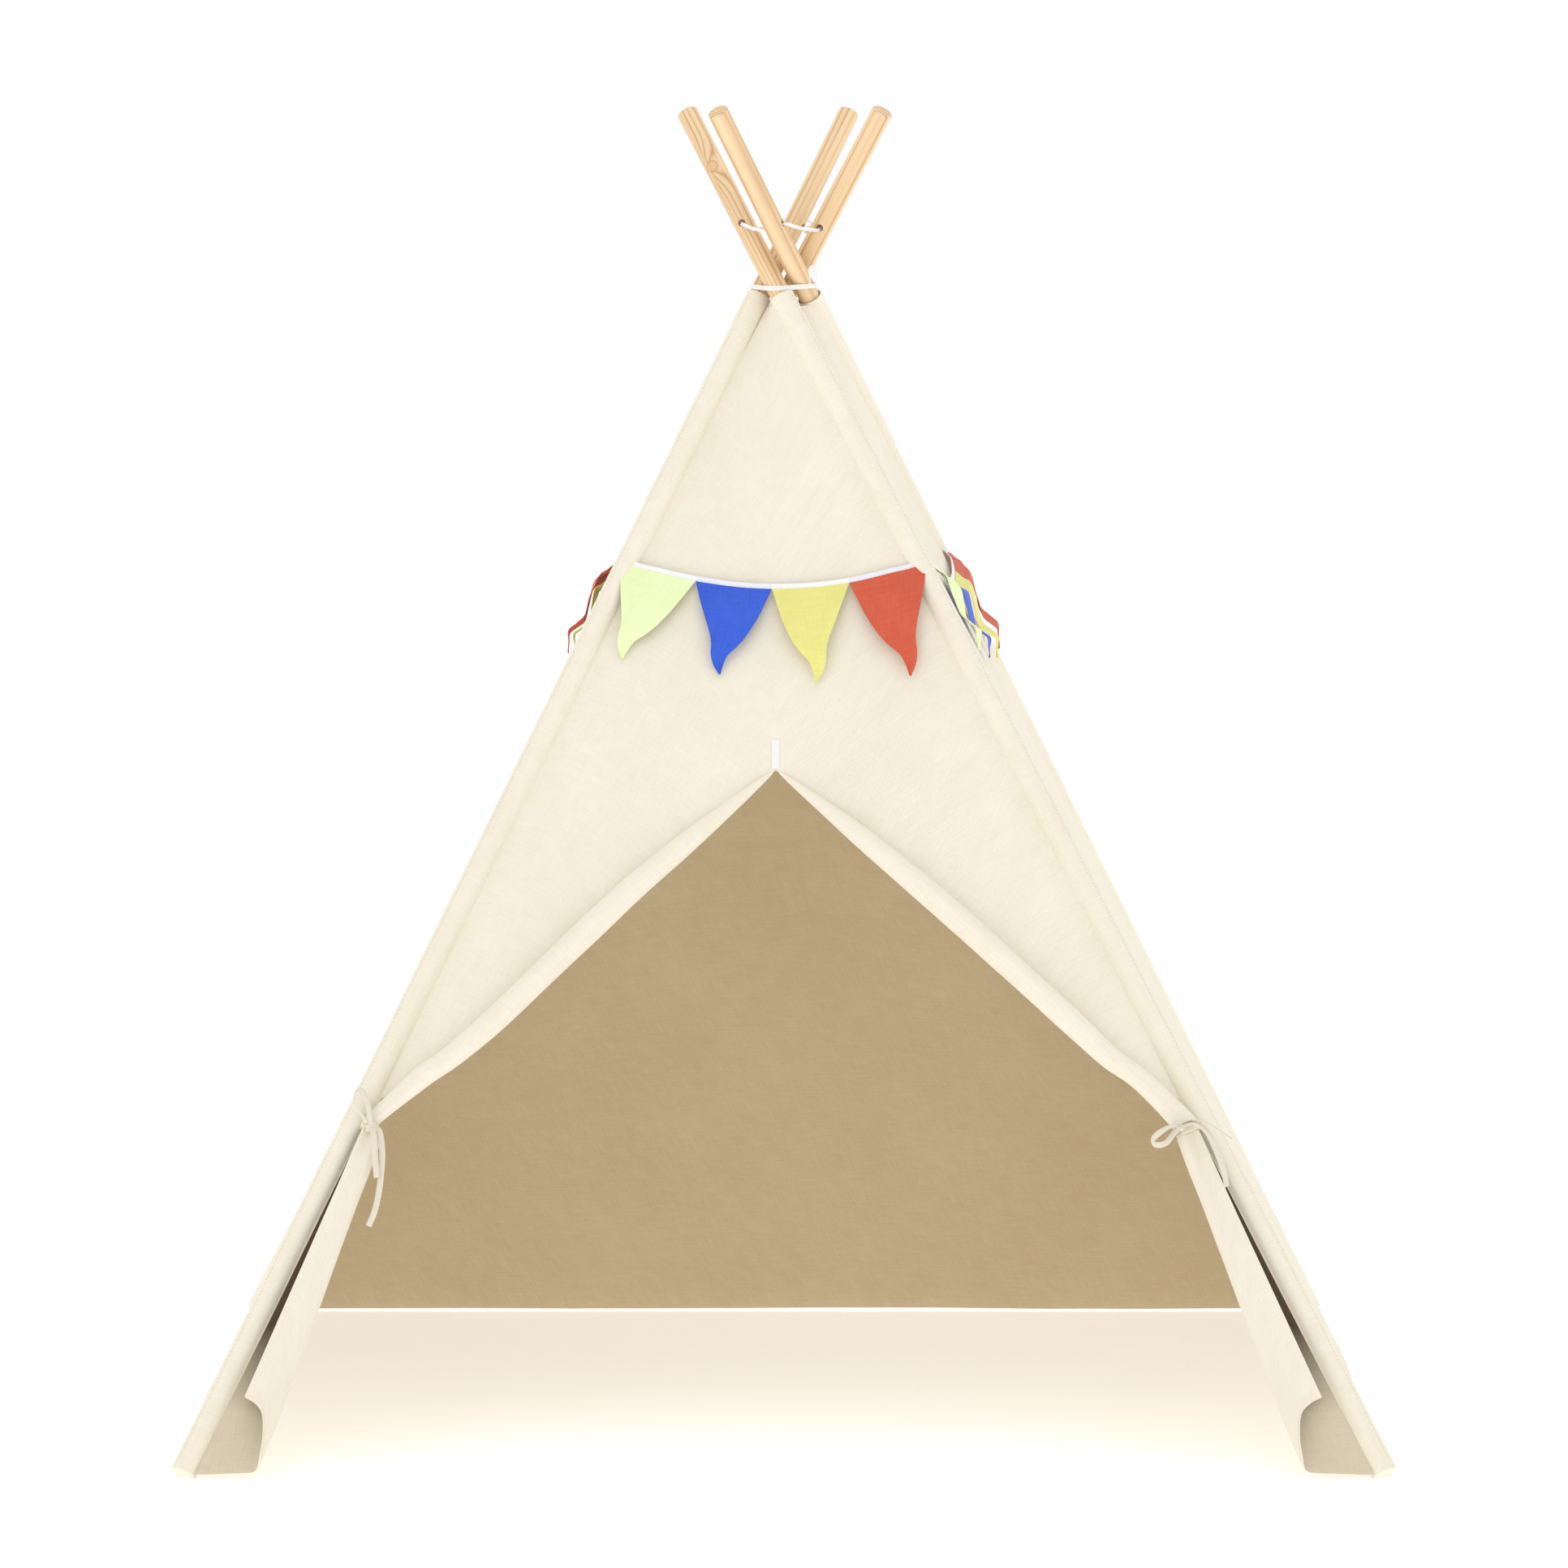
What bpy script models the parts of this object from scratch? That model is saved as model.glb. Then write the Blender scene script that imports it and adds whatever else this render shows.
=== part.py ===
# Kids teepee: four crossed poles in cloth sleeves, a four-sided cover with a tied-back door, and bunting.
# Metres, +Z up, the front with the door faces -Y, and the floor is at zero height.

import math

import bmesh
import bpy
from mathutils import Matrix, Vector

# Shared clearances
CLEARANCE = 0.0003
CUTTER_OVERRUN = 0.004
WELD_DISTANCE = 0.00001

# How the poles stand: the feet in a square, the crossings in a small square above its centre
FOOT_SPACING = 1.200
CROSSING_HEIGHT = 1.188
POLE_SPACING_AT_CROSSING = 0.0295

# Poles, each of three equal wooden sections in two ferrules
POLE_DIAMETER = 0.022
POLE_ABOVE_CROSSING = 0.20986
POLE_CHAMFER = 0.0012
POLE_SIDES = 24
SECTION_NAMES = ("lower", "middle", "upper")
FERRULE_LENGTH = 0.080
FERRULE_WALL = 0.0007

# Holes for the lace, near the top of each pole
LACE_HOLE_DIAMETER = 0.008
LACE_HOLE_ABOVE_CROSSING = 0.0629
LACE_HOLE_TURN = 64.0
HOLE_SIDES = 20

# Cloth sleeves round the poles, closed at the foot
SLEEVE_WALL = 0.0010
SLEEVE_TOP_BELOW_CROSSING = 0.030
SLEEVE_SIDES = 20
SLEEVE_TOE_HEIGHT = 0.004

# Cover panels, sewn to the flanks of the sleeves
PANEL_THICKNESS = 0.0012
PANEL_HEM_HEIGHT = 0.0025
PANEL_TOP_BELOW_CROSSING = 0.058
PANEL_SEAM_ANGLE = 85.0
PANEL_ROWS = 11
PANEL_COLUMNS = 8

# Door: the cloth below the slit is rolled back along each side and tied to the front sleeves
DOOR_TOP_HEIGHT = 0.681
DOOR_CORNER_HEIGHT = 0.362
DOOR_CORNER_SHARE = 0.010
DOOR_EDGE_BOW = 0.006
DOOR_LOWER_ROWS = 6
DOOR_UPPER_ROWS = 7
DOOR_TAPE_WIDTH = 0.008
DOOR_TAPE_LENGTH = 0.025
TAPE_THICKNESS = 0.0010

# Rolled door cloth, from the top of the door to the neck that the tie holds
ROLL_HALF_WIDTH = 0.0150
ROLL_HALF_DEPTH = 0.0090
ROLL_CLEARANCE = 0.0014
ROLL_SIDES = 12
ROLL_ALONG_SHARES = (0.02, 0.12, 0.28, 0.46, 0.64, 0.80, 0.93)
ROLL_SIZE_SHARES = (0.14, 0.34, 0.60, 0.84, 1.00, 0.92, 0.74)
NECK_RADII = {"left": 0.0062, "right": 0.0090}
NECK_LENGTH = 0.013
NECK_HEIGHT = 0.335

# Ties that hold the rolled cloth, each with a bow of one loop and two tails
TIE_WIDTH = 0.0070
TIE_THICKNESS = 0.0010
TIE_SIDES = 20
KNOT_WIDTH = 0.013
KNOT_DEPTH = 0.0075
KNOT_HEIGHT = 0.010
KNOT_BITE = 0.0012
BOW_POINTS = 12

# Bow straps, two for the loop and one for each tail, in shares: across, outward and up the slope
BOW_SCALE = 0.010
BOW_SHARES = {
    "left": (
        ((0.0, 0.2, 0.0), (-0.5, 0.6, 1.5), (-0.8, 0.8, 3.1), (-1.3, 0.8, 3.75)),
        ((-1.1, 0.75, 3.7), (-1.7, 0.7, 3.2), (-1.3, 0.6, 1.6), (-0.3, 0.3, 0.2)),
        ((0.1, 0.2, 0.0), (0.3, 0.8, -0.8), (0.45, 0.9, -2.4), (0.6, 0.85, -4.0), (0.75, 0.8, -5.7)),
        (
            (0.2, 0.0, 0.0),
            (0.9, 0.3, -0.5),
            (1.2, 0.35, -2.4),
            (1.2, 0.35, -4.3),
            (1.0, 0.3, -6.8),
            (0.6, 0.2, -9.3),
            (0.0, 0.1, -11.2),
        ),
    ),
    "right": (
        ((0.0, 0.1, 0.1), (-1.1, 0.5, 0.2), (-2.2, 0.8, -0.6), (-2.6, 0.8, -1.4)),
        ((-2.5, 0.8, -1.2), (-2.4, 0.75, -1.9), (-1.6, 0.6, -2.0), (-0.8, 0.4, -1.2), (0.0, 0.1, -0.1)),
        ((0.0, 0.2, 0.1), (1.4, 0.9, 0.3), (2.8, 1.3, -0.1), (5.3, 1.4, -2.0)),
        (
            (0.1, 0.1, 0.0),
            (1.5, 1.0, 0.0),
            (2.8, 1.1, -1.1),
            (3.6, 1.0, -2.8),
            (4.3, 1.0, -5.0),
            (4.65, 0.9, -6.8),
        ),
    ),
}
OUT_WAY = Vector((0.0, -1.0, 0.0))
BOW_FLAT_WAYS = {
    "left": (OUT_WAY, Vector((-1.0, -0.2, -0.4)), OUT_WAY, OUT_WAY),
    "right": (Vector((0.2, -0.7, 1.0)), Vector((0.2, -0.7, 1.0)), Vector((0.0, -0.3, 1.0)), OUT_WAY),
}

# Door curtains, the cloth that hangs folded below each tie
CURTAIN_THICKNESS = 0.0012
CURTAIN_WIDTHS = {"left": 0.0570, "right": 0.0620}
CURTAIN_TOP_DEPTH = 0.0100
CURTAIN_BOTTOM_DEPTH = 0.0190
CURTAIN_HEM_HEIGHT = 0.0045
CURTAIN_FREE_CORNER_HEIGHT = 0.080
CURTAIN_FREE_EDGE_GAP = 0.0060
CURTAIN_WIDTH_SHARES = (0.30, 0.40, 0.47, 0.54, 0.61, 0.68, 0.74, 0.80, 0.86, 0.92, 0.975, 1.0)
CURTAIN_ACROSS_SHARES = (0.0, 0.30, 0.60, 0.85, 0.96, 1.0, 0.96, 0.85, 0.62, 0.36, 0.10)
CURTAIN_DEPTH_SHARES = (0.0, 0.06, 0.02, 0.00, 0.16, 0.50, 0.84, 1.0, 0.98, 0.92, 0.88)
CURTAIN_HEM_SHARES = (0.0, 0.0, 0.0, 0.0, 0.02, 0.08, 0.22, 0.42, 0.70, 0.92, 1.0)
CURTAIN_WAVE = 0.0022
CURTAIN_WAVES = 1.6

# Band round the four poles just below the crossing, and the lace through the pole tops
BAND_TOP_BELOW_CROSSING = 0.0105
BAND_WIDTH = 0.0050
BAND_THICKNESS = 0.0010
BAND_POINTS = 48
LACE_DIAMETER = 0.0032
LACE_SAG = 0.006
LACE_STRETCH_POINTS = 6
LACE_STRAIGHT_BEYOND_POLE = 0.0025
LACE_KNOT_WIDTH = 0.013
LACE_KNOT_HEIGHT = 0.009
LACE_BOW_LENGTH = 0.020
LACE_BOW_WIDTH = 0.010

# Bunting: one tape on each side, from corner to corner, with four pennants
TAPE_END_BELOW_CROSSING = 0.290
TAPE_WIDTH = 0.0076
TAPE_SAG = 0.033
TAPE_CLEARANCE = 0.0008
TAPE_WRAP_SHARE = 0.034
TAPE_WRAP_SEGMENTS = 4
TAPE_SEGMENTS_PER_PENNANT = 4
PENNANTS_PER_SIDE = 4
PENNANT_LENGTH = 0.114
PENNANT_LENGTH_SHARES = (0.90, 0.87, 0.93, 1.0)
PENNANT_LEANS = (0.015, 0.030, -0.054, -0.106)
PENNANT_THICKNESS = 0.0010
PENNANT_TIP_WIDTH = 0.0025
PENNANT_SWAY = 0.012
PENNANT_CURL = 0.010
PENNANT_ROW_SHARES = (0.0, 0.1, 0.2, 0.4, 0.58, 0.70, 0.80, 0.90, 1.0)
PENNANT_WIDTH_SHARES = (1.0, 0.92, 0.84, 0.66, 0.46, 0.32, 0.20, 0.11, 0.0)
PENNANT_SWAY_SHARES = (0.0, 0.02, 0.05, 0.12, 0.05, -0.45, -0.85, -0.70, -0.30)
PENNANT_CURL_SHARES = (0.0, 0.03, 0.06, 0.0, 0.25, 0.60, 0.45, 0.15, 0.30)
PENNANT_SWAY_SIGNS = (1.0, 1.0, -1.0, -1.0)

# Places worked out from the sizes above
LEG_NAMES = ("front_right", "back_right", "back_left", "front_left")
SIDE_NAMES = ("front", "right", "back", "left")
POLE_RADIUS = POLE_DIAMETER / 2
FERRULE_BORE_RADIUS = POLE_RADIUS + CLEARANCE
FERRULE_RADIUS = FERRULE_BORE_RADIUS + FERRULE_WALL
SLEEVE_BORE_RADIUS = FERRULE_RADIUS + CLEARANCE
SLEEVE_RADIUS = SLEEVE_BORE_RADIUS + SLEEVE_WALL
SEAM_RADIUS = SLEEVE_RADIUS + CLEARANCE
PANEL_TOP_HEIGHT = CROSSING_HEIGHT - PANEL_TOP_BELOW_CROSSING
TAPE_END_HEIGHT = CROSSING_HEIGHT - TAPE_END_BELOW_CROSSING


def material(name, colour, roughness, metallic=0.0):
    made = bpy.data.materials.new(name)
    made.use_nodes = True
    shader = made.node_tree.nodes["Principled BSDF"]
    shader.inputs["Base Color"].default_value = (*colour, 1.0)
    shader.inputs["Roughness"].default_value = roughness
    shader.inputs["Metallic"].default_value = metallic
    made.diffuse_color = (*colour, 1.0)
    return made


def add_object(name, mesh_data, finish, parent=None, place=None):
    made = bpy.data.objects.new(name, mesh_data)
    bpy.context.scene.collection.objects.link(made)
    if finish is not None:
        made.data.materials.clear()
        made.data.materials.append(finish)
    if parent is not None:
        made.parent = parent
    if place is not None:
        made.matrix_local = place
    return made


def mesh_of(name, shape, smooth_angle=40.0):
    bmesh.ops.recalc_face_normals(shape, faces=shape.faces)
    made = bpy.data.meshes.new(name)
    shape.to_mesh(made)
    shape.free()
    made.shade_smooth()
    made.set_sharp_from_angle(angle=math.radians(smooth_angle))
    return made


def ring_faces(shape, rings, closed_profile):
    count = len(rings[0])
    pairs = list(zip(rings, rings[1:]))
    if closed_profile:
        pairs.append((rings[-1], rings[0]))
    for low, high in pairs:
        for i in range(count):
            j = (i + 1) % count
            shape.faces.new((low[i], low[j], high[j], high[i]))
    if not closed_profile:
        shape.faces.new(rings[0])
        shape.faces.new(rings[-1])


def turned(profile, sides, closed_profile=False):
    """A body turned about Z from (radius, height) points: capped at both ends, or a closed ring."""
    shape = bmesh.new()
    rings = []
    for radius, height in profile:
        ring = []
        for i in range(sides):
            angle = math.tau * i / sides
            point = (radius * math.cos(angle), radius * math.sin(angle), height)
            ring.append(shape.verts.new(point))
        rings.append(ring)
    ring_faces(shape, rings, closed_profile)
    return shape


def swept(stations, outline):
    """A solid through stations of (centre, half_width vector, half_depth vector), with a unit outline."""
    shape = bmesh.new()
    rings = []
    for centre, half_width, half_depth in stations:
        ring = []
        for across, out in outline:
            ring.append(shape.verts.new(centre + half_width * across + half_depth * out))
        rings.append(ring)
    ring_faces(shape, rings, False)
    return shape


def unit_ellipse(sides):
    angles = [math.tau * i / sides for i in range(sides)]
    return [(math.cos(angle), math.sin(angle)) for angle in angles]


UNIT_SQUARE = ((-1.0, -1.0), (1.0, -1.0), (1.0, 1.0), (-1.0, 1.0))


def sheet(patches):
    """An open surface from patches, each a list of rows of points, welded where they meet."""
    shape = bmesh.new()
    for rows in patches:
        grid = [[shape.verts.new(point) for point in row] for row in rows]
        for low, high in zip(grid, grid[1:]):
            for i in range(len(low) - 1):
                shape.faces.new((low[i], low[i + 1], high[i + 1], high[i]))
    bmesh.ops.remove_doubles(shape, verts=shape.verts, dist=WELD_DISTANCE)
    made = bpy.data.meshes.new("sheet")
    shape.to_mesh(made)
    shape.free()
    return made


def thicken(piece, thickness, side=1.0):
    solid = piece.modifiers.new("Thickness", "SOLIDIFY")
    solid.thickness = thickness
    solid.offset = side
    solid.use_even_offset = True


def join_solid(piece, other):
    """Unites another solid with a piece, and leaves the other as a guide."""
    other.hide_render = True
    other.display_type = "WIRE"
    union = piece.modifiers.new(other.name, "BOOLEAN")
    union.operation = "UNION"
    union.object = other


def cut_solid(piece, cutter):
    cutter.hide_render = True
    cutter.display_type = "WIRE"
    cut = piece.modifiers.new(cutter.name, "BOOLEAN")
    cut.operation = "DIFFERENCE"
    cut.object = cutter


def quarter_turn(turns):
    return Matrix.Rotation(math.pi / 2 * turns, 4, "Z")


def leg_frame(turns):
    """Axes of a leg at its crossing: X inward and down, Y along the flank, Z up the pole."""
    half_foot = FOOT_SPACING / 2
    half_gap = POLE_SPACING_AT_CROSSING / 2
    crossing = Vector((-half_gap, -half_gap, CROSSING_HEIGHT))
    foot = Vector((half_foot, -half_foot, 0.0))
    up = (crossing - foot).normalized()
    flank = Vector((0.0, 0.0, 1.0)).cross(up).normalized()
    frame = Matrix((flank.cross(up), flank, up)).transposed().to_4x4()
    frame.translation = crossing
    return quarter_turn(turns) @ frame


def on_leg(turns, inward, flank, height):
    """The point beside a leg's axis at the given offsets and at a height above the floor."""
    frame = leg_frame(turns)
    base = frame @ Vector((inward, flank, 0.0))
    up = frame.col[2].to_3d()
    return base + up * ((height - base.z) / up.z)


def seam_point(turns, flank_sign, height):
    angle = math.radians(PANEL_SEAM_ANGLE)
    inward = SEAM_RADIUS * math.cos(angle)
    flank = SEAM_RADIUS * math.sin(angle) * flank_sign
    return on_leg(turns, inward, flank, height)


def cover_point(share, height):
    """A point of the front panel's inner face, from the left seam at 0 to the right seam at 1."""
    return seam_point(3, -1, height).lerp(seam_point(0, 1, height), share)


def cover_width(height):
    return (cover_point(1.0, height) - cover_point(0.0, height)).length


def cover_axes(share, height):
    """Unit vectors across, up the slope and outward from the front panel."""
    across = (cover_point(1.0, height) - cover_point(0.0, height)).normalized()
    above = cover_point(share, height + PANEL_THICKNESS)
    up = (above - cover_point(share, height)).normalized()
    outward = across.cross(up).normalized()
    return across, outward.cross(across), outward


def axes_at(centre, x_way, y_way, z_way):
    frame = Matrix((x_way, y_way, z_way)).transposed().to_4x4()
    frame.translation = centre
    return frame


def spread(start, end, count):
    return [start + (end - start) * i / (count - 1) for i in range(count)]


def leg_hinges():
    """One empty on each leg's hinge axis; the leg's pieces are modelled along its Z."""
    hinges = []
    for turns, name in enumerate(LEG_NAMES):
        hinge = bpy.data.objects.new("hinge_" + name, None)
        bpy.context.scene.collection.objects.link(hinge)
        hinge.matrix_world = leg_frame(turns)
        hinges.append(hinge)
    return hinges


def pole_foot():
    """Places along a leg's axis: the toe of the sleeve, the end of its hollow and the pole's foot."""
    up = leg_frame(0).col[2]
    lean = math.sqrt(1.0 - up.z * up.z)
    toe = (SLEEVE_TOE_HEIGHT - CROSSING_HEIGHT) / up.z
    hollow = (SLEEVE_WALL + SLEEVE_BORE_RADIUS * lean - CROSSING_HEIGHT) / up.z
    return toe, hollow, hollow + CLEARANCE


def pole_section_mesh(low, high):
    profile = (
        (POLE_RADIUS - POLE_CHAMFER, low),
        (POLE_RADIUS, low + POLE_CHAMFER),
        (POLE_RADIUS, high - POLE_CHAMFER),
        (POLE_RADIUS - POLE_CHAMFER, high),
    )
    return mesh_of("pole_section", turned(profile, POLE_SIDES))


def ferrule_mesh(middle):
    low = middle - FERRULE_LENGTH / 2
    high = middle + FERRULE_LENGTH / 2
    profile = (
        (FERRULE_BORE_RADIUS, low),
        (FERRULE_RADIUS, low),
        (FERRULE_RADIUS, high),
        (FERRULE_BORE_RADIUS, high),
    )
    return mesh_of("ferrule", turned(profile, POLE_SIDES, closed_profile=True))


def lace_hole_direction():
    """The lace hole's direction in a leg's axes."""
    turn = math.radians(LACE_HOLE_TURN)
    return Vector((math.cos(turn), -math.sin(turn), 0.0))


def lace_hole_cutter(hinge, name):
    half = POLE_RADIUS + CUTTER_OVERRUN
    shape = turned(((LACE_HOLE_DIAMETER / 2, -half), (LACE_HOLE_DIAMETER / 2, half)), HOLE_SIDES)
    turn = lace_hole_direction().to_track_quat("Z", "Y").to_matrix().to_4x4()
    place = Matrix.Translation((0.0, 0.0, LACE_HOLE_ABOVE_CROSSING)) @ turn
    return add_object("lace_hole_" + name, mesh_of("lace_hole", shape), None, hinge, place)


def section_length(foot):
    """The length of one of a pole's equal sections, from its foot to its tip above the crossing."""
    gaps = CLEARANCE * (len(SECTION_NAMES) - 1)
    return (POLE_ABOVE_CROSSING - foot - gaps) / len(SECTION_NAMES)


def make_poles(hinges, wood, metal):
    low = pole_foot()[2]
    length = section_length(low)
    for section in SECTION_NAMES:
        high = low + length
        mesh_data = pole_section_mesh(low, high)
        joint_mesh = ferrule_mesh(high + CLEARANCE / 2)
        for hinge, leg in zip(hinges, LEG_NAMES):
            pole = add_object(section + "_pole_" + leg, mesh_data, wood, hinge)
            if section == SECTION_NAMES[-1]:
                cut_solid(pole, lace_hole_cutter(hinge, leg))
            else:
                add_object(section + "_ferrule_" + leg, joint_mesh, metal, hinge)
        low = high + CLEARANCE


def sleeve_mesh():
    """A tube closed at its toe and cut flat where it stands on the floor."""
    toe, hollow, _ = pole_foot()
    profile = (
        (SLEEVE_BORE_RADIUS, hollow),
        (SLEEVE_BORE_RADIUS, -SLEEVE_TOP_BELOW_CROSSING),
        (SLEEVE_RADIUS, -SLEEVE_TOP_BELOW_CROSSING),
        (SLEEVE_RADIUS, toe),
    )
    shape = turned(profile, SLEEVE_SIDES)
    to_leg = leg_frame(0).inverted()
    floor_point = to_leg @ Vector((0.0, 0.0, 0.0))
    floor_down = to_leg.to_3x3() @ Vector((0.0, 0.0, -1.0))
    everything = shape.verts[:] + shape.edges[:] + shape.faces[:]
    cut = bmesh.ops.bisect_plane(
        shape, geom=everything, plane_co=floor_point, plane_no=floor_down, clear_outer=True
    )
    edges = [part for part in cut["geom_cut"] if isinstance(part, bmesh.types.BMEdge)]
    bmesh.ops.contextual_create(shape, geom=edges)
    return mesh_of("pole_sleeve", shape)


def make_sleeves(hinges, canvas):
    mesh_data = sleeve_mesh()
    for hinge, leg in zip(hinges, LEG_NAMES):
        add_object("pole_sleeve_" + leg, mesh_data, canvas, hinge)


def plain_panel_rows():
    rows = []
    for height in spread(PANEL_HEM_HEIGHT, PANEL_TOP_HEIGHT, PANEL_ROWS):
        rows.append([cover_point(share, height) for share in spread(0.0, 1.0, PANEL_COLUMNS + 1)])
    return rows


def door_edge_share(height):
    """How far across the panel the left edge of the door stands at a height: straight, with a slight bow."""
    drop = (DOOR_TOP_HEIGHT - height) / (DOOR_TOP_HEIGHT - DOOR_CORNER_HEIGHT)
    corner = cover_width(DOOR_CORNER_HEIGHT) * (0.5 - DOOR_CORNER_SHARE)
    reach = corner * drop + DOOR_EDGE_BOW * 4.0 * drop * (1.0 - drop)
    return 0.5 - reach / cover_width(height)


def door_panel_patches():
    """The front panel: whole above the door, and a pointed half on each side of it."""
    half_columns = PANEL_COLUMNS // 2
    upper = []
    for height in spread(DOOR_TOP_HEIGHT, PANEL_TOP_HEIGHT, DOOR_UPPER_ROWS):
        upper.append([cover_point(share, height) for share in spread(0.0, 1.0, PANEL_COLUMNS + 1)])
    left, right = [], []
    for height in spread(DOOR_CORNER_HEIGHT, DOOR_TOP_HEIGHT, DOOR_LOWER_ROWS):
        edge = door_edge_share(height)
        left.append([cover_point(share, height) for share in spread(0.0, edge, half_columns + 1)])
        right.append([cover_point(share, height) for share in spread(1.0 - edge, 1.0, half_columns + 1)])
    return [upper, left, right]


def make_panels(canvas):
    front = add_object("front_panel", sheet(door_panel_patches()), canvas)
    thicken(front, PANEL_THICKNESS)
    plain = sheet([plain_panel_rows()])
    for turns in range(1, 4):
        panel = add_object(SIDE_NAMES[turns] + "_panel", plain, canvas, place=quarter_turn(turns))
        thicken(panel, PANEL_THICKNESS)


def make_door_tape(tape):
    rows = []
    for up in spread(DOOR_TAPE_WIDTH / 2, DOOR_TAPE_WIDTH / 2 + DOOR_TAPE_LENGTH, 3):
        across, slope, outward = cover_axes(0.5, DOOR_TOP_HEIGHT)
        middle = cover_point(0.5, DOOR_TOP_HEIGHT) + slope * up
        middle = middle + outward * (PANEL_THICKNESS + CLEARANCE)
        rows.append([middle - across * DOOR_TAPE_WIDTH / 2, middle + across * DOOR_TAPE_WIDTH / 2])
    made = add_object("door_top_tape", sheet([rows]), tape)
    thicken(made, TAPE_THICKNESS)


def tie_radius(name):
    return NECK_RADII[name] + CLEARANCE + TIE_THICKNESS


def neck_axes(name, turns, flank_sign):
    """The neck's centre, the direction down the pole and the outward direction at a front leg."""
    frame = leg_frame(turns)
    offset = SLEEVE_RADIUS + CLEARANCE + tie_radius(name)
    centre = on_leg(turns, 0.0, offset * flank_sign, NECK_HEIGHT)
    down = -frame.col[2].to_3d()
    outward = cover_axes(0.5, NECK_HEIGHT)[2]
    outward = (outward - down * outward.dot(down)).normalized()
    return centre, down, outward


def roll_stations(name, turns, flank_sign):
    """Along the edge of the panel on its outer face, and then through the tie."""
    stations = []
    for along, size in zip(ROLL_ALONG_SHARES, ROLL_SIZE_SHARES):
        height = DOOR_TOP_HEIGHT + (DOOR_CORNER_HEIGHT - DOOR_TOP_HEIGHT) * along
        reach = 0.5 - door_edge_share(height)
        share = 0.5 + reach * flank_sign
        across, slope, normal = cover_axes(share, height)
        run_across = across * flank_sign * (FOOT_SPACING - 4 * SLEEVE_RADIUS) / 2
        run = (run_across - slope * CROSSING_HEIGHT / 2).normalized()
        depth = ROLL_HALF_DEPTH * size
        point = cover_point(share, height) + normal * (PANEL_THICKNESS + ROLL_CLEARANCE + depth)
        stations.append((point, run.cross(normal) * ROLL_HALF_WIDTH * size, normal * depth))
    centre, down, outward = neck_axes(name, turns, flank_sign)
    radius = NECK_RADII[name]
    for step in (-0.5, 0.5):
        point = centre + down * NECK_LENGTH * step
        stations.append((point, down.cross(outward) * radius, outward * radius))
    return stations


FRONT_LEGS = (("left", 3, -1), ("right", 0, 1))


def make_rolls(canvas):
    for name, turns, flank_sign in FRONT_LEGS:
        shape = swept(roll_stations(name, turns, flank_sign), unit_ellipse(ROLL_SIDES))
        add_object("door_roll_" + name, mesh_of("door_roll", shape, 60.0), canvas)


def smooth_points(points, count):
    """Points at even steps along one smooth curve through the given points."""
    padded = [points[0] * 2 - points[1], *points, points[-1] * 2 - points[-2]]
    made = []
    for step in spread(0.0, len(points) - 1, count):
        i = min(int(step), len(points) - 2)
        t = step - i
        a, b, c, d = padded[i : i + 4]
        made.append(
            0.5 * (2 * b + (c - a) * t + (2 * a - 5 * b + 4 * c - d) * t**2 + (3 * b - a - 3 * c + d) * t**3)
        )
    return made


def ribbon(route, flat_way, width, thickness, count):
    """A flat strap along a smooth route, kept flat to a direction."""
    points = smooth_points(route, count)
    stations = []
    for i, point in enumerate(points):
        before = points[max(i - 1, 0)]
        after = points[min(i + 1, len(points) - 1)]
        along = (after - before).normalized()
        out = (flat_way - along * flat_way.dot(along)).normalized()
        stations.append((point, along.cross(out) * width / 2, out * thickness / 2))
    return swept(stations, UNIT_SQUARE)


def knot_shape(width, depth, height):
    shape = bmesh.new()
    bmesh.ops.create_uvsphere(shape, u_segments=12, v_segments=6, radius=0.5)
    bmesh.ops.scale(shape, vec=(width, depth, height), verts=shape.verts)
    return shape


def make_ties(tape):
    for name, turns, flank_sign in FRONT_LEGS:
        centre, down, outward = neck_axes(name, turns, flank_sign)
        place = axes_at(centre, outward.cross(down), outward, down)
        inner = NECK_RADII[name] + CLEARANCE
        outer = tie_radius(name)
        profile = (
            (inner, -TIE_WIDTH / 2),
            (outer, -TIE_WIDTH / 2),
            (outer, TIE_WIDTH / 2),
            (inner, TIE_WIDTH / 2),
        )
        ring = mesh_of("door_tie", turned(profile, TIE_SIDES, closed_profile=True))
        tie = add_object("door_tie_" + name, ring, tape, place=place)

        across, slope, normal = cover_axes(0.5, NECK_HEIGHT)
        middle = centre + outward * (outer - KNOT_BITE + KNOT_DEPTH / 2)
        axes = axes_at(middle, across, -normal, slope)
        knot = mesh_of("knot", knot_shape(KNOT_WIDTH, KNOT_DEPTH, KNOT_HEIGHT))
        join_solid(tie, add_object("knot_" + name, knot, None, place=axes))
        for i, shares in enumerate(BOW_SHARES[name]):
            route = [Vector((right, -out, up)) * BOW_SCALE for right, out, up in shares]
            shape = ribbon(route, BOW_FLAT_WAYS[name][i], TIE_WIDTH, TIE_THICKNESS, BOW_POINTS)
            strap = add_object(f"bow_strap_{name}_{i}", mesh_of("bow_strap", shape), None, place=axes)
            join_solid(tie, strap)


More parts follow.
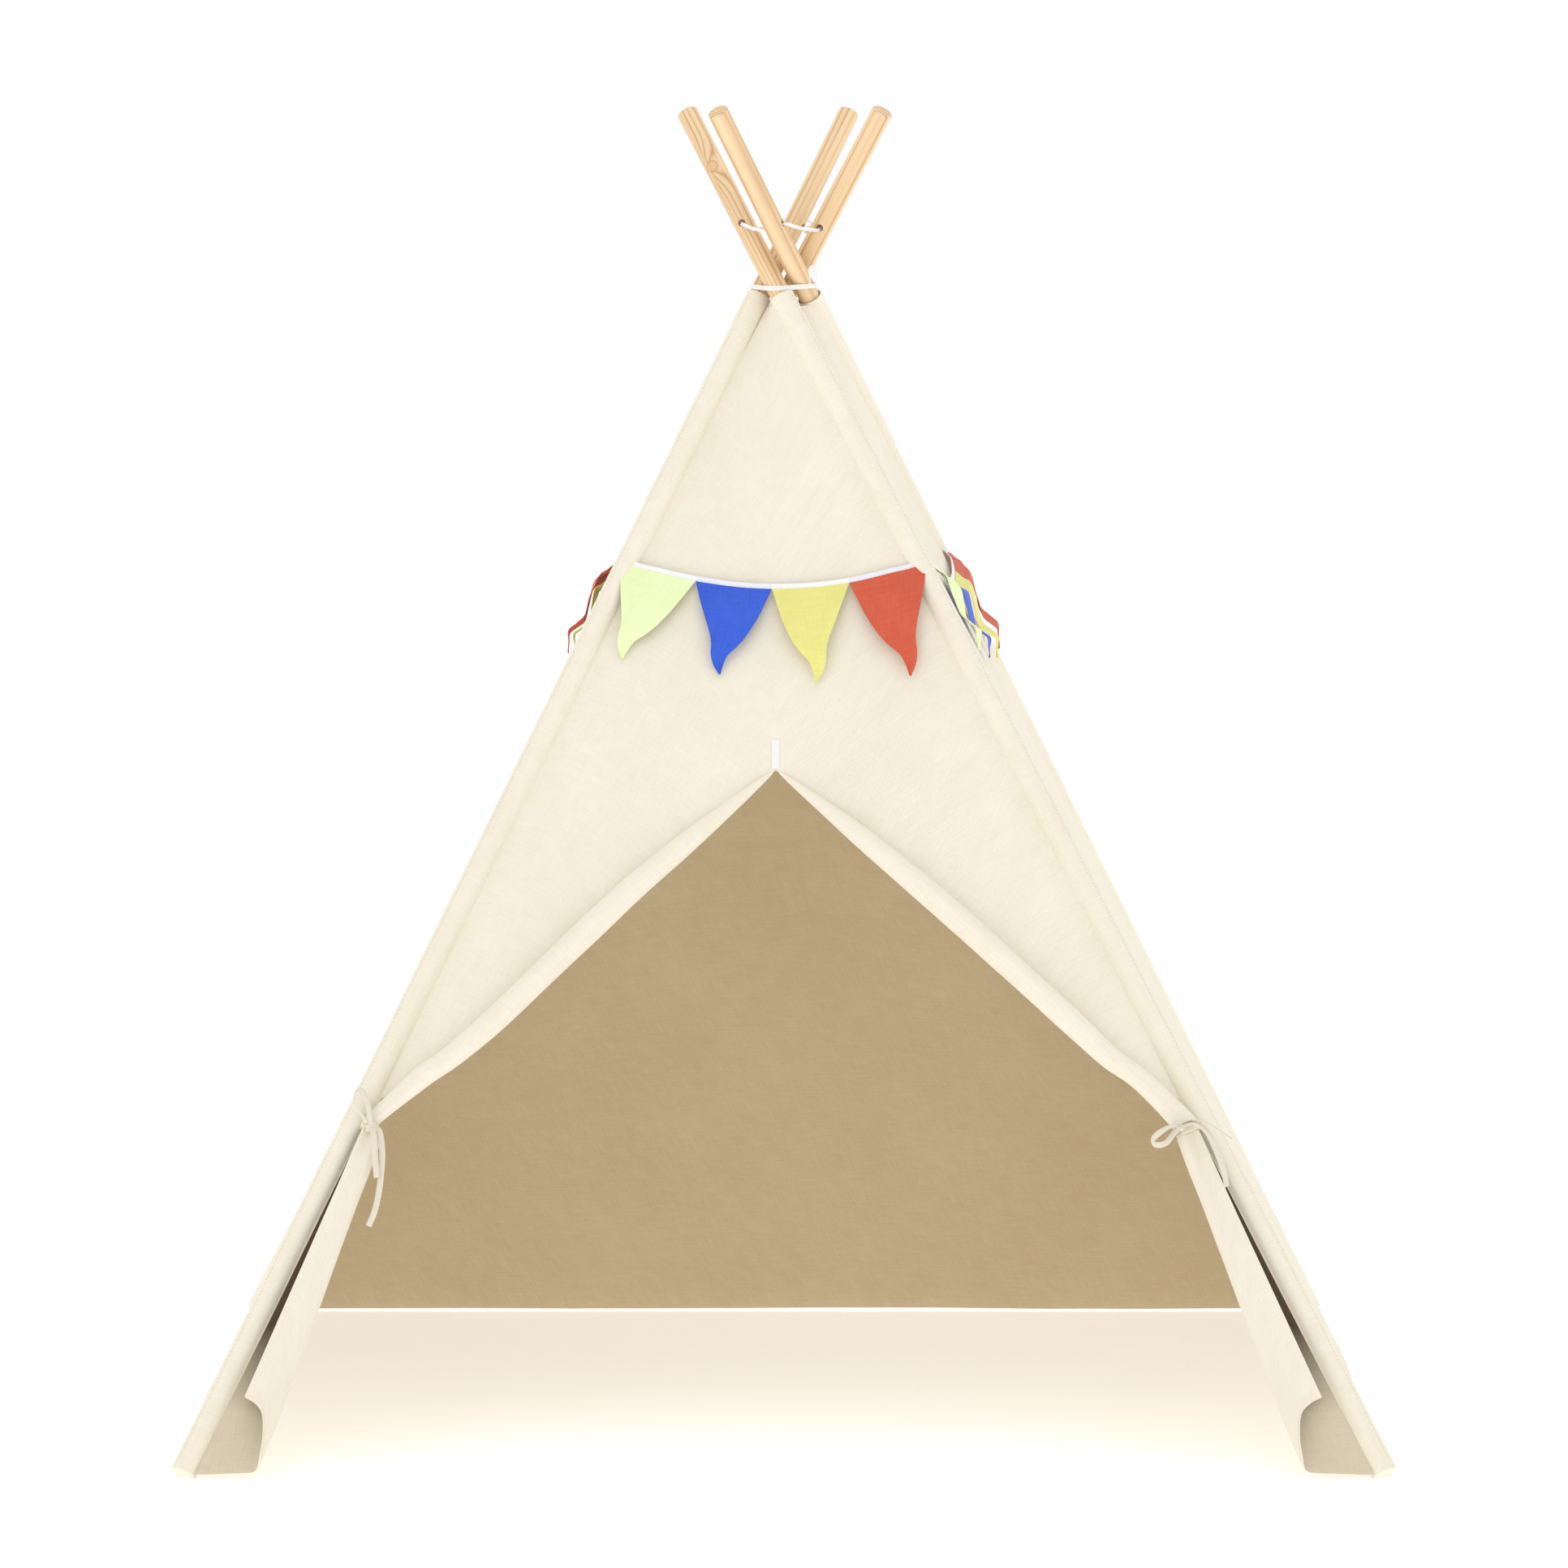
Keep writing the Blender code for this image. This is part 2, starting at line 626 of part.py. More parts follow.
def curtain_rows(name, turns, flank_sign):
    """The folded cloth from just below the tie to the hem, in the leg's own axes."""
    frame = leg_frame(turns)
    to_leg = frame.inverted()
    centre, _, outward = neck_axes(name, turns, flank_sign)
    out_way = (to_leg.to_3x3() @ outward).normalized()
    across_way = Vector((0.0, 0.0, 1.0)).cross(out_way) * -flank_sign
    angle = math.radians(PANEL_SEAM_ANGLE)
    seam = Vector((math.cos(angle), math.sin(angle) * flank_sign, 0.0)) * (SEAM_RADIUS + CURTAIN_THICKNESS)
    top = (to_leg @ centre).z - NECK_LENGTH / 2 - CLEARANCE
    rows = []
    for step, wide in zip(spread(0.0, 1.0, len(CURTAIN_WIDTH_SHARES)), CURTAIN_WIDTH_SHARES):
        width = CURTAIN_WIDTHS[name] * wide
        depth = CURTAIN_TOP_DEPTH + (CURTAIN_BOTTOM_DEPTH - CURTAIN_TOP_DEPTH) * step
        row = []
        for across, out, rise in zip(CURTAIN_ACROSS_SHARES, CURTAIN_DEPTH_SHARES, CURTAIN_HEM_SHARES):
            wave = CURTAIN_WAVE * math.sin(math.tau * CURTAIN_WAVES * (step + across / 2)) * step * across
            reach = max(across * width, CURTAIN_FREE_EDGE_GAP) if rise > 0.5 else across * width
            flat = seam + across_way * reach + out_way * (out * depth + wave)
            hem = CURTAIN_HEM_HEIGHT + (CURTAIN_FREE_CORNER_HEIGHT - CURTAIN_HEM_HEIGHT) * rise
            base = frame @ Vector((flat.x, flat.y, 0.0))
            bottom = (hem - base.z) / frame.col[2].z
            row.append(Vector((flat.x, flat.y, top + (bottom - top) * step)))
        rows.append(row)
    return rows


def make_curtains(hinges, canvas):
    for name, turns, flank_sign in FRONT_LEGS:
        mesh_data = sheet([curtain_rows(name, turns, flank_sign)])
        curtain = add_object("door_curtain_" + name, mesh_data, canvas, hinges[turns])
        thicken(curtain, CURTAIN_THICKNESS, 0.0)


def band_ring(height, offset):
    """The tightest loop round the four tilted poles at a height, an offset away from them."""
    angles = [math.tau * i / BAND_POINTS for i in range(BAND_POINTS)]
    points = []
    for angle in angles:
        way = Vector((math.cos(angle), math.sin(angle)))
        best = None
        for turns in range(4):
            frame = leg_frame(turns)
            middle = on_leg(turns, 0.0, 0.0, height).to_2d()
            lean = frame.col[2].to_2d().normalized()
            flank = Vector((-lean.y, lean.x))
            along_lean = POLE_RADIUS / frame.col[2].z
            a = along_lean * way.dot(lean)
            b = POLE_RADIUS * way.dot(flank)
            reach = math.hypot(a, b)
            touch = middle + lean * (along_lean * a / reach) + flank * (POLE_RADIUS * b / reach)
            if best is None or touch.dot(way) > best.dot(way):
                best = touch
        points.append((best + way * offset).to_3d() + Vector((0.0, 0.0, height)))
    return points


def make_band(elastic):
    top = CROSSING_HEIGHT - BAND_TOP_BELOW_CROSSING
    low = top - BAND_WIDTH
    shape = bmesh.new()
    rings = []
    for height, offset in (
        (low, CLEARANCE),
        (low, CLEARANCE + BAND_THICKNESS),
        (top, CLEARANCE + BAND_THICKNESS),
        (top, CLEARANCE),
    ):
        rings.append([shape.verts.new(point) for point in band_ring(height, offset)])
    ring_faces(shape, rings, True)
    add_object("pole_band", mesh_of("pole_band", shape), elastic)


def lace_stop(turns, end):
    """Where the lace comes out of a pole's hole: end is -1 or 1 along the hole."""
    reach = POLE_RADIUS + LACE_STRAIGHT_BEYOND_POLE
    rest = LACE_HOLE_DIAMETER / 2 - LACE_DIAMETER / 2 - CLEARANCE
    local = lace_hole_direction() * reach * end
    local = local + Vector((0.0, 0.0, LACE_HOLE_ABOVE_CROSSING - rest))
    return leg_frame(turns) @ local


def lace_knot_place():
    """The knot hangs between the two back poles' holes, behind the crossing."""
    start, end = lace_stop(2, -1), lace_stop(3, 1)
    return start.lerp(end, 0.5) - Vector((0.0, 0.0, LACE_SAG))


def lace_route():
    """From the knot through the holes of the front left, front right, back right and back left poles."""
    knot = lace_knot_place()
    first = (lace_stop(3, 1) - knot).normalized()
    last = (lace_stop(2, -1) - knot).normalized()
    reach = LACE_KNOT_WIDTH / 2 + CLEARANCE
    points = [knot + first * reach, lace_stop(3, 1)]
    for turns in (3, 0, 1, 2):
        points.append(lace_stop(turns, -1))
        if turns != 2:
            after = lace_stop((turns + 1) % 4, 1)
            middle = lace_stop(turns, -1).lerp(after, 0.5) - Vector((0.0, 0.0, LACE_SAG))
            points.extend((middle, after))
    points.append(knot + last * reach)
    return points


def make_lace(cord):
    curve = bpy.data.curves.new("pole_lace", "CURVE")
    curve.dimensions = "3D"
    curve.bevel_depth = LACE_DIAMETER / 2
    curve.bevel_resolution = 2
    curve.resolution_u = 1
    curve.render_resolution_u = 1
    curve.use_fill_caps = True
    route = lace_route()
    points = smooth_points(route, (len(route) - 1) * LACE_STRETCH_POINTS + 1)
    spline = curve.splines.new("POLY")
    spline.points.add(len(points) - 1)
    for place, point in zip(spline.points, points):
        place.co = (*point, 1.0)
    add_object("pole_lace", curve, cord)


def make_lace_bow(cord):
    knot = lace_knot_place()
    along = (lace_stop(3, 1) - lace_stop(2, -1)).normalized()
    outward = Vector((knot.x, knot.y, 0.0))
    outward = (outward - along * outward.dot(along)).normalized()
    place = axes_at(knot, outward, along, outward.cross(along))
    shape = knot_shape(LACE_KNOT_HEIGHT, LACE_KNOT_WIDTH, LACE_KNOT_HEIGHT)
    bow = add_object("lace_bow", mesh_of("lace_bow", shape), cord, place=place)
    for i, way in enumerate((-1.0, 1.0)):
        route = [
            Vector((0.0, 0.0, 0.0)),
            Vector((LACE_BOW_WIDTH, way * LACE_BOW_LENGTH / 2, -LACE_BOW_WIDTH / 2)),
            Vector((LACE_BOW_WIDTH, way * LACE_BOW_LENGTH, -LACE_BOW_WIDTH * 2)),
        ]
        facing = Vector((1.0, 0.0, 0.0))
        strap = ribbon(route, facing, LACE_BOW_WIDTH / 2, LACE_DIAMETER / 2, BOW_POINTS // 2)
        join_solid(bow, add_object(f"lace_tail_{i}", mesh_of("lace_tail", strap), None, place=place))


def tape_lean(turns, flank_sign):
    """The angle from a sleeve's outermost line at which the front tape leaves it."""
    normal = cover_axes(0.5, TAPE_END_HEIGHT)[2]
    local = leg_frame(turns).to_3x3().inverted() @ normal
    return math.atan2(local.y * flank_sign, -local.x)


def tape_end(turns, flank_sign):
    """Where the front tape leaves a sleeve, and how far it goes on round the sleeve to the corner."""
    lean = tape_lean(turns, flank_sign)
    radius = SLEEVE_RADIUS + TAPE_CLEARANCE
    point = on_leg(turns, -radius * math.cos(lean), radius * math.sin(lean) * flank_sign, TAPE_END_HEIGHT)
    return point, radius * lean - CLEARANCE / 2


def wrapped(point, turns, flank_sign):
    """Bends a point of the front tape's plane round a sleeve where it lies beyond it."""
    frame = leg_frame(turns)
    local = frame.inverted() @ point
    lean = tape_lean(turns, flank_sign)
    beyond = -(local.x * math.sin(lean) + local.y * flank_sign * math.cos(lean))
    radius = local.y * flank_sign * math.sin(lean) - local.x * math.cos(lean)
    if beyond <= 0.0:
        return point
    angle = lean - beyond / radius
    bent = Vector((-radius * math.cos(angle), radius * math.sin(angle) * flank_sign, local.z))
    return frame @ bent


def tape_plane_point(share, drop):
    """A point of the front tape's plane, at a share of its length and a drop down the slope."""
    left, left_reach = tape_end(3, -1)
    right, right_reach = tape_end(0, 1)
    span = (right - left).length
    run = (share * (span + left_reach + right_reach) - left_reach) / span
    _, slope, outward = cover_axes(0.5, TAPE_END_HEIGHT)
    hang = TAPE_SAG * 4.0 * share * (1.0 - share)
    return left.lerp(right, run) - slope * (hang + drop), outward


def tape_shares():
    """Shares of the tape's length for its points: close together where it goes round a sleeve."""
    start = spread(0.0, TAPE_WRAP_SHARE, TAPE_WRAP_SEGMENTS + 1)[:-1]
    knots = [TAPE_WRAP_SHARE] + spread(0.0, 1.0, PENNANTS_PER_SIDE + 1)[1:-1] + [1.0 - TAPE_WRAP_SHARE]
    middle = []
    for low, high in zip(knots, knots[1:]):
        middle.extend(spread(low, high, TAPE_SEGMENTS_PER_PENNANT + 1)[:-1])
    end = spread(1.0 - TAPE_WRAP_SHARE, 1.0, TAPE_WRAP_SEGMENTS + 1)
    return start + middle + end


def bent_round_sleeves(point):
    return wrapped(wrapped(point, 3, -1), 0, 1)


def make_bunting_tapes(tape):
    rows = []
    for drop in (TAPE_WIDTH, 0.0):
        rows.append([bent_round_sleeves(tape_plane_point(share, drop)[0]) for share in tape_shares()])
    mesh_data = sheet([rows])
    for turns, side in enumerate(SIDE_NAMES):
        made = add_object("bunting_tape_" + side, mesh_data, tape, place=quarter_turn(turns))
        thicken(made, TAPE_THICKNESS)


def pennant_top(index):
    """Flat points along a front pennant's sewn edge, just under the tape, and the outward way."""
    points = []
    for share in tape_shares():
        if index <= share * PENNANTS_PER_SIDE <= index + 1:
            point, outward = tape_plane_point(share, TAPE_WIDTH + CLEARANCE)
            points.append(point)
    trim = (points[-1] - points[0]).normalized() * CLEARANCE / 2
    points[0] = points[0] + trim
    points[-1] = points[-1] - trim
    return points, outward


def pennant_frame(index):
    """Axes on a front pennant's hinge line: X along it, Y outward, Z down the cover."""
    points, outward = pennant_top(index)
    along = (points[-1] - points[0]).normalized()
    middle = points[0].lerp(points[-1], 0.5) + outward * (PENNANT_THICKNESS + CLEARANCE)
    return axes_at(middle, along, outward, along.cross(outward))


def pennant_mesh(index):
    frame = pennant_frame(index)
    to_frame = frame.inverted()
    top = [to_frame @ point for point in pennant_top(index)[0]]
    length = PENNANT_LENGTH * PENNANT_LENGTH_SHARES[index]
    rows = []
    for row, wide, sway, curl in zip(
        PENNANT_ROW_SHARES, PENNANT_WIDTH_SHARES, PENNANT_SWAY_SHARES, PENNANT_CURL_SHARES
    ):
        wide = wide + (1.0 - wide) * PENNANT_TIP_WIDTH / (top[-1].x - top[0].x)
        middle = PENNANT_SWAY_SIGNS[index] * sway * PENNANT_SWAY + PENNANT_LEANS[index] * length * row
        line = []
        for point in top:
            down = point.z * (1.0 - row) + row * length
            flat = frame @ Vector((middle + point.x * wide, point.y + curl * PENNANT_CURL, down))
            line.append(to_frame @ bent_round_sleeves(flat))
        rows.append(line)
    rows.reverse()
    return sheet([rows])


def make_pennants(hinges, finishes):
    for index in range(PENNANTS_PER_SIDE):
        frame = pennant_frame(index)
        mesh_data = pennant_mesh(index)
        for turns, side in enumerate(SIDE_NAMES):
            leg = turns - 1 if index < PENNANTS_PER_SIDE // 2 else turns
            hinge = hinges[leg % 4]
            place = hinge.matrix_world.inverted() @ quarter_turn(turns) @ frame
            name = f"pennant_{side}_{index + 1}"
            made = add_object(name, mesh_data.copy(), finishes[index], hinge, place)
            thicken(made, PENNANT_THICKNESS)


def clear_scene():
    for old in list(bpy.data.objects):
        bpy.data.objects.remove(old, do_unlink=True)


def build():
    clear_scene()
    wood = material("pine", (0.80, 0.60, 0.38), 0.55)
    metal = material("ferrule_steel", (0.62, 0.63, 0.65), 0.35, 1.0)
    canvas = material("canvas", (0.90, 0.85, 0.73), 0.9)
    tape = material("cream_tape", (0.91, 0.87, 0.77), 0.85)
    white_tape = material("white_tape", (0.93, 0.92, 0.93), 0.8)
    cord = material("white_cord", (0.92, 0.91, 0.88), 0.8)
    pennant_finishes = (
        material("light_green_cloth", (0.72, 0.90, 0.45), 0.85),
        material("blue_cloth", (0.05, 0.12, 0.65), 0.85),
        material("yellow_cloth", (0.86, 0.84, 0.28), 0.85),
        material("red_cloth", (0.72, 0.11, 0.06), 0.85),
    )
    hinges = leg_hinges()
    bpy.context.view_layer.update()
    make_poles(hinges, wood, metal)
    make_sleeves(hinges, canvas)
    make_panels(canvas)
    make_door_tape(white_tape)
    make_rolls(canvas)
    make_ties(tape)
    make_curtains(hinges, canvas)
    make_band(cord)
    make_lace(cord)
    make_lace_bow(cord)
    make_bunting_tapes(white_tape)
    make_pennants(hinges, pennant_finishes)
    bpy.context.view_layer.update()


build()
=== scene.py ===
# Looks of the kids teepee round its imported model. Metres, +Z up, the front with the door faces -Y.

import math

import bmesh
import bpy
import numpy as np
from mathutils import Matrix, Vector


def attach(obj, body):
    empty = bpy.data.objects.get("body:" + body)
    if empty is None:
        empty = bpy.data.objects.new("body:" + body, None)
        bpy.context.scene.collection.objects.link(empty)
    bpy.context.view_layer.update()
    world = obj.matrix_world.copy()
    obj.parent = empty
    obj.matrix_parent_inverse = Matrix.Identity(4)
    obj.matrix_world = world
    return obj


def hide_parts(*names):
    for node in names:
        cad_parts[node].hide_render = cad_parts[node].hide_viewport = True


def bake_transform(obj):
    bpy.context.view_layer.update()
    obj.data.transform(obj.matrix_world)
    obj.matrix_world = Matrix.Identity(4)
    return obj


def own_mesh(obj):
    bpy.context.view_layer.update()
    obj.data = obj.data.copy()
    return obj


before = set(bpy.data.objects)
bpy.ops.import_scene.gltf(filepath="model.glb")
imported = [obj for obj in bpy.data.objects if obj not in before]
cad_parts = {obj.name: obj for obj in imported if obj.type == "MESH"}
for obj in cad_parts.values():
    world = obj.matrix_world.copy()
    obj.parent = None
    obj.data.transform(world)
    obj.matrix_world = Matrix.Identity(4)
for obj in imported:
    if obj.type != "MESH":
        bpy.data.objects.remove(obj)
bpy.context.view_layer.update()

# Camera at the photograph's angle
CAMERA_PLACE = (0.0, -8.7766, 1.3050)
CAMERA_TILT = 85.7172
CAMERA_LENS = 190.5
SENSOR_WIDTH = 36.0

# Floor and studio light
FLOOR_SIZE = 60.0
FLOOR_COLOUR = (0.985, 0.985, 0.98)
FLOOR_ROUGHNESS = 0.6
FLOOR_GLOW = 0.44
DOME_STRENGTH = 1.0
KEY_STRENGTH = 0.14
KEY_SOFTNESS = 40.0
KEY_DIRECTION = (0.35, 0.75, -0.62)

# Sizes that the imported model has
CLEARANCE = 0.0003
FOOT_SPACING = 1.200
CROSSING_HEIGHT = 1.188
POLE_SPACING_AT_CROSSING = 0.0295
POLE_RADIUS = 0.011
SLEEVE_BORE_RADIUS = 0.0123
SLEEVE_RADIUS = 0.0133
SLEEVE_TOP = 0.030
SLEEVE_TOE_HEIGHT = 0.004
SEAM_RADIUS = SLEEVE_RADIUS + CLEARANCE
SEAM_ANGLE = math.radians(85.0)
PANEL_THICKNESS = 0.0012
PANEL_HEM_HEIGHT = 0.0025
PANEL_TOP_HEIGHT = 1.155
DOOR_TOP_HEIGHT = 0.681
DOOR_CORNER_HEIGHT = 0.362
DOOR_CORNER_SHARE = 0.010
DOOR_EDGE_BOW = 0.006
DOOR_EDGE_SHIFTS = (
    (0.0, 0.0025, 0.0055, 0.0070, 0.0095, 0.0145, 0.0190, 0.0235, 0.0270, 0.0250, 0.0120),
    (0.0, 0.0010, 0.0030, 0.0045, 0.0070, 0.0100, 0.0140, 0.0165, 0.0200, 0.0225, 0.0120),
)
DOOR_TAPE_WIDTH = 0.008
DOOR_TAPE_LENGTH = 0.025
NECK_RADII = {"left": 0.0062, "right": 0.0090}
NECK_LENGTH = 0.013
NECK_HEIGHT = 0.335
TIE_WIDTH = 0.0060
TIE_THICKNESS = 0.0010
KNOT_DEPTH = 0.0075
KNOT_BITE = 0.0012
CURTAIN_THICKNESS = 0.0012
CURTAIN_WIDTHS = {"left": 0.0570, "right": 0.0620}
CURTAIN_DEPTHS = (0.0100, 0.0190)
CURTAIN_HEM_HEIGHT = 0.0045
CURTAIN_CORNER_HEIGHT = 0.080
CURTAIN_FREE_EDGE_GAPS = (0.0010, 0.0145)
BAND_TOP_BELOW_CROSSING = 0.0105
BAND_WIDTH = 0.0050
LACE_HOLE_ABOVE_CROSSING = 0.0629
LACE_HOLE_TURN = math.radians(64.0)
LACE_REST = 0.0021
LACE_STRAIGHT_BEYOND_POLE = 0.0025
LACE_SAG = 0.0016
TAPE_END_HEIGHT = 0.898
TAPE_WIDTH = 0.0076
TAPE_SAG = 0.033
TAPE_CLEARANCE = 0.0008
PENNANTS_PER_SIDE = 4
PENNANT_LENGTH = 0.114
FOLD_ANGLE = math.radians(28.0)

# Names in turning order, and the front legs with their quarter turns and the side they stand on
LEG_NAMES = ("front_right", "back_right", "back_left", "front_left")
SIDE_NAMES = ("front", "right", "back", "left")
HANDS = ("left", "right")
FRONT_LEGS = (("left", 3, -1), ("right", 0, 1))

# Pieces sewn on, gathered by side and half
SEWN_ON = {}

# Shape tables: shares of the sizes above, except the leans and the sizes in metres
CURTAIN_WIDTH_SHARES = (0.38, 0.45, 0.50, 0.56, 0.62, 0.68, 0.74, 0.80, 0.86, 0.92, 0.975, 1.0)
CURTAIN_ACROSS_SHARES = (0.0, 0.30, 0.60, 0.85, 0.96, 1.0, 0.96, 0.85, 0.62, 0.36, 0.10)
CURTAIN_DEPTH_SHARES = (0.0, 0.06, 0.02, 0.00, 0.16, 0.50, 0.84, 1.0, 0.98, 0.92, 0.88)
CURTAIN_HEM_SHARES = (0.0, 0.01, 0.02, 0.03, 0.05, 0.12, 0.26, 0.49, 0.78, 0.92, 1.0)
PENNANT_LENGTH_SHARES = (0.925, 0.89, 0.955, 1.05)
PENNANT_LEANS = (0.015, 0.030, -0.054, -0.106)
PENNANT_SWAY = 0.012
PENNANT_CURL = 0.010
PENNANT_THICKNESS = 0.0008
PENNANT_ROW_SHARES = (0.0, 0.1, 0.2, 0.4, 0.58, 0.70, 0.80, 0.90, 1.0)
PENNANT_WIDTH_SHARES = (1.0, 0.92, 0.84, 0.66, 0.46, 0.32, 0.20, 0.11, 0.0)
PENNANT_SWAY_SHARES = (0.0, 0.02, 0.05, 0.10, 0.05, -0.15, -0.50, -0.52, -0.30)
PENNANT_CURL_SHARES = (0.0, 0.10, 0.28, 0.50, 0.55, 0.62, 0.40, 0.12, 0.10)
PENNANT_SWAY_SIGNS = (1.0, 1.0, -1.0, -1.0)
PENNANT_SIDE_LEANS = {(3, 3): -0.22, (3, 2): -0.10, (1, 0): 0.10, (1, 3): -0.12}
PENNANT_SIDE_LENGTHS = (1.0, 0.90, 1.0, 0.80)
PENNANT_SIDE_CURLS = (0.0, 0.45, 0.95, 0.55, 0.15, 0.60, 0.95, 0.50, 0.05)


# Small tools for points: each works on arrays whose last axis is x, y, z
def unit(vectors):
    return vectors / np.linalg.norm(vectors, axis=-1, keepdims=True)


def turned(points, turns):
    """Points after a number of quarter turns about the object's upright middle line."""
    x, y, z = points[..., 0], points[..., 1], points[..., 2]
    for _ in range(turns % 4):
        x, y = -y, x
    return np.stack((x, y, z), -1)


def spread(start, end, count):
    return np.linspace(start, end, count)


def circle(count):
    """Angles round a circle, without the one that closes it."""
    return spread(0.0, math.tau, count + 1)[:-1]


def smoothstep(low, high, value):
    t = np.clip((value - low) / (high - low), 0.0, 1.0)
    return t * t * (3.0 - 2.0 * t)


def between(ends, share):
    return ends[0] + (ends[1] - ends[0]) * share


def bell(value, width):
    return np.exp(-((value / width) ** 2))


def through(table, steps):
    """A smooth curve through a table's rows, at steps counted in rows."""
    rows = np.asarray(table, float)
    padded = np.concatenate((rows[:1] * 2 - rows[1:2], rows, rows[-1:] * 2 - rows[-2:-1]))
    low = np.clip(np.floor(steps).astype(int), 0, len(rows) - 2)
    t = steps - low
    if rows.ndim > 1:
        t = t[..., None]
    a, b, c, d = (padded[low + i] for i in range(4))
    return 0.5 * (2 * b + (c - a) * t + (2 * a - 5 * b + 4 * c - d) * t**2 + (3 * b - a - 3 * c + d) * t**3)


NOISE_CELLS = 64


def soft_noise(x, y, seed):
    """Smooth noise from -1 to 1 with one hill or hollow for each unit of x and y."""
    lattice = np.random.default_rng(seed).uniform(-1.0, 1.0, (NOISE_CELLS, NOISE_CELLS))
    column, row = np.floor(x).astype(int), np.floor(y).astype(int)
    u, v = smoothstep(0.0, 1.0, x - column), smoothstep(0.0, 1.0, y - row)
    left, right = column % NOISE_CELLS, (column + 1) % NOISE_CELLS
    low, high = (lattice[line % NOISE_CELLS, left] * (1 - u) + lattice[line % NOISE_CELLS, right] * u
                 for line in (row, row + 1))
    return low * (1 - v) + high * v


# The legs: each has axes inward, along its flank and up the pole, at its crossing
HALF_GAP = POLE_SPACING_AT_CROSSING / 2
CROSSING = np.array((-HALF_GAP, -HALF_GAP, CROSSING_HEIGHT))
FOOT = np.array((FOOT_SPACING / 2, -FOOT_SPACING / 2, 0.0))
POLE_UP = unit(CROSSING - FOOT)
FLANK = unit(np.cross((0.0, 0.0, 1.0), POLE_UP))
INWARD = np.cross(FLANK, POLE_UP)
LEG_AXES = np.stack((INWARD, FLANK, POLE_UP))


def leg_point(turns, local):
    return turned(CROSSING + np.asarray(local) @ LEG_AXES, turns)


def leg_local(turns, points):
    return (turned(points, -turns) - CROSSING) @ LEG_AXES.T


def on_leg(turns, inward, flank, height):
    inward, flank, height = np.broadcast_arrays(inward, flank, height)
    base = CROSSING + inward[..., None] * INWARD + flank[..., None] * FLANK
    along = (height - base[..., 2]) / POLE_UP[2]
    return turned(base + along[..., None] * POLE_UP, turns)


def folded(turns, points, angle=FOLD_ANGLE):
    """Points that ride on a leg, after the leg has folded inward by the angle."""
    local = leg_local(turns, points)
    x, y, z = local[..., 0], local[..., 1], local[..., 2]
    c, s = math.cos(angle), math.sin(angle)
    return leg_point(turns, np.stack((x * c - z * s, y, x * s + z * c), -1))


# The front side of the cover: the other sides are quarter turns of it
def cover_point(share, height):
    share, height = np.broadcast_arrays(share, height)
    reach, side = SEAM_RADIUS * math.cos(SEAM_ANGLE), SEAM_RADIUS * math.sin(SEAM_ANGLE)
    left, right = on_leg(3, reach, -side, height), on_leg(0, reach, side, height)
    return left + (right - left) * share[..., None]


def cover_width(height):
    return np.linalg.norm(cover_point(1.0, height) - cover_point(0.0, height), axis=-1)


def cover_axes(share, height):
    share, height = np.broadcast_arrays(share, height)
    across = unit(cover_point(1.0, height) - cover_point(0.0, height))
    up = unit(cover_point(share, height + PANEL_THICKNESS) - cover_point(share, height))
    outward = unit(np.cross(across, up))
    return across, np.cross(outward, across), outward


# Soft undulations of the cover, in metres: wrinkles by width, height and size, creases by height and size
WRINKLES = ((0.30, 0.42, 0.0030), (0.13, 0.22, 0.0011), (0.055, 0.08, 0.0003))
WRINKLE_EDGE_FADE = 0.09
WRINKLE_TOP_FADE = (1.12, 0.95)
WRINKLE_NOISE_START = (20.3, 7.7)
WRINKLE_SEED_STEP = 11
CREASES = ((0.995, 0.0009), (0.968, -0.0006), (0.560, 0.0006))
CREASE_WIDTH = 0.005
CREASE_EDGE_FADE = 0.05
VALLEY_DEPTH = 0.0044
VALLEY_WIDTH = 0.016

# Pull lines that fan out from the top of the front door, and a ridge by the front's peak
PULL_SIZE = 0.0011
PULL_REACH = 0.10
PULL_FADE = (0.012, 0.05)
PULL_RAYS = 7.0
PULL_TURN = 0.6
PULL_CENTRE_DROP = 0.02
RIDGE_SIZE = 0.0008
RIDGE_SHIFT = 0.012
RIDGE_WIDTH = 0.010
RIDGE_LOW_FADE = (0.93, 1.02)
RIDGE_TOP_FADE = (1.155, 1.09)

# A hem's doubled cloth: how far it stands out, and the heights over which it ends
HEM_LIFT = 0.0006
HEM_DOUBLED = 0.0010
HEM_END = (PANEL_HEM_HEIGHT + 0.012, PANEL_HEM_HEIGHT + 0.0105)
NORMAL_STEP = 0.002


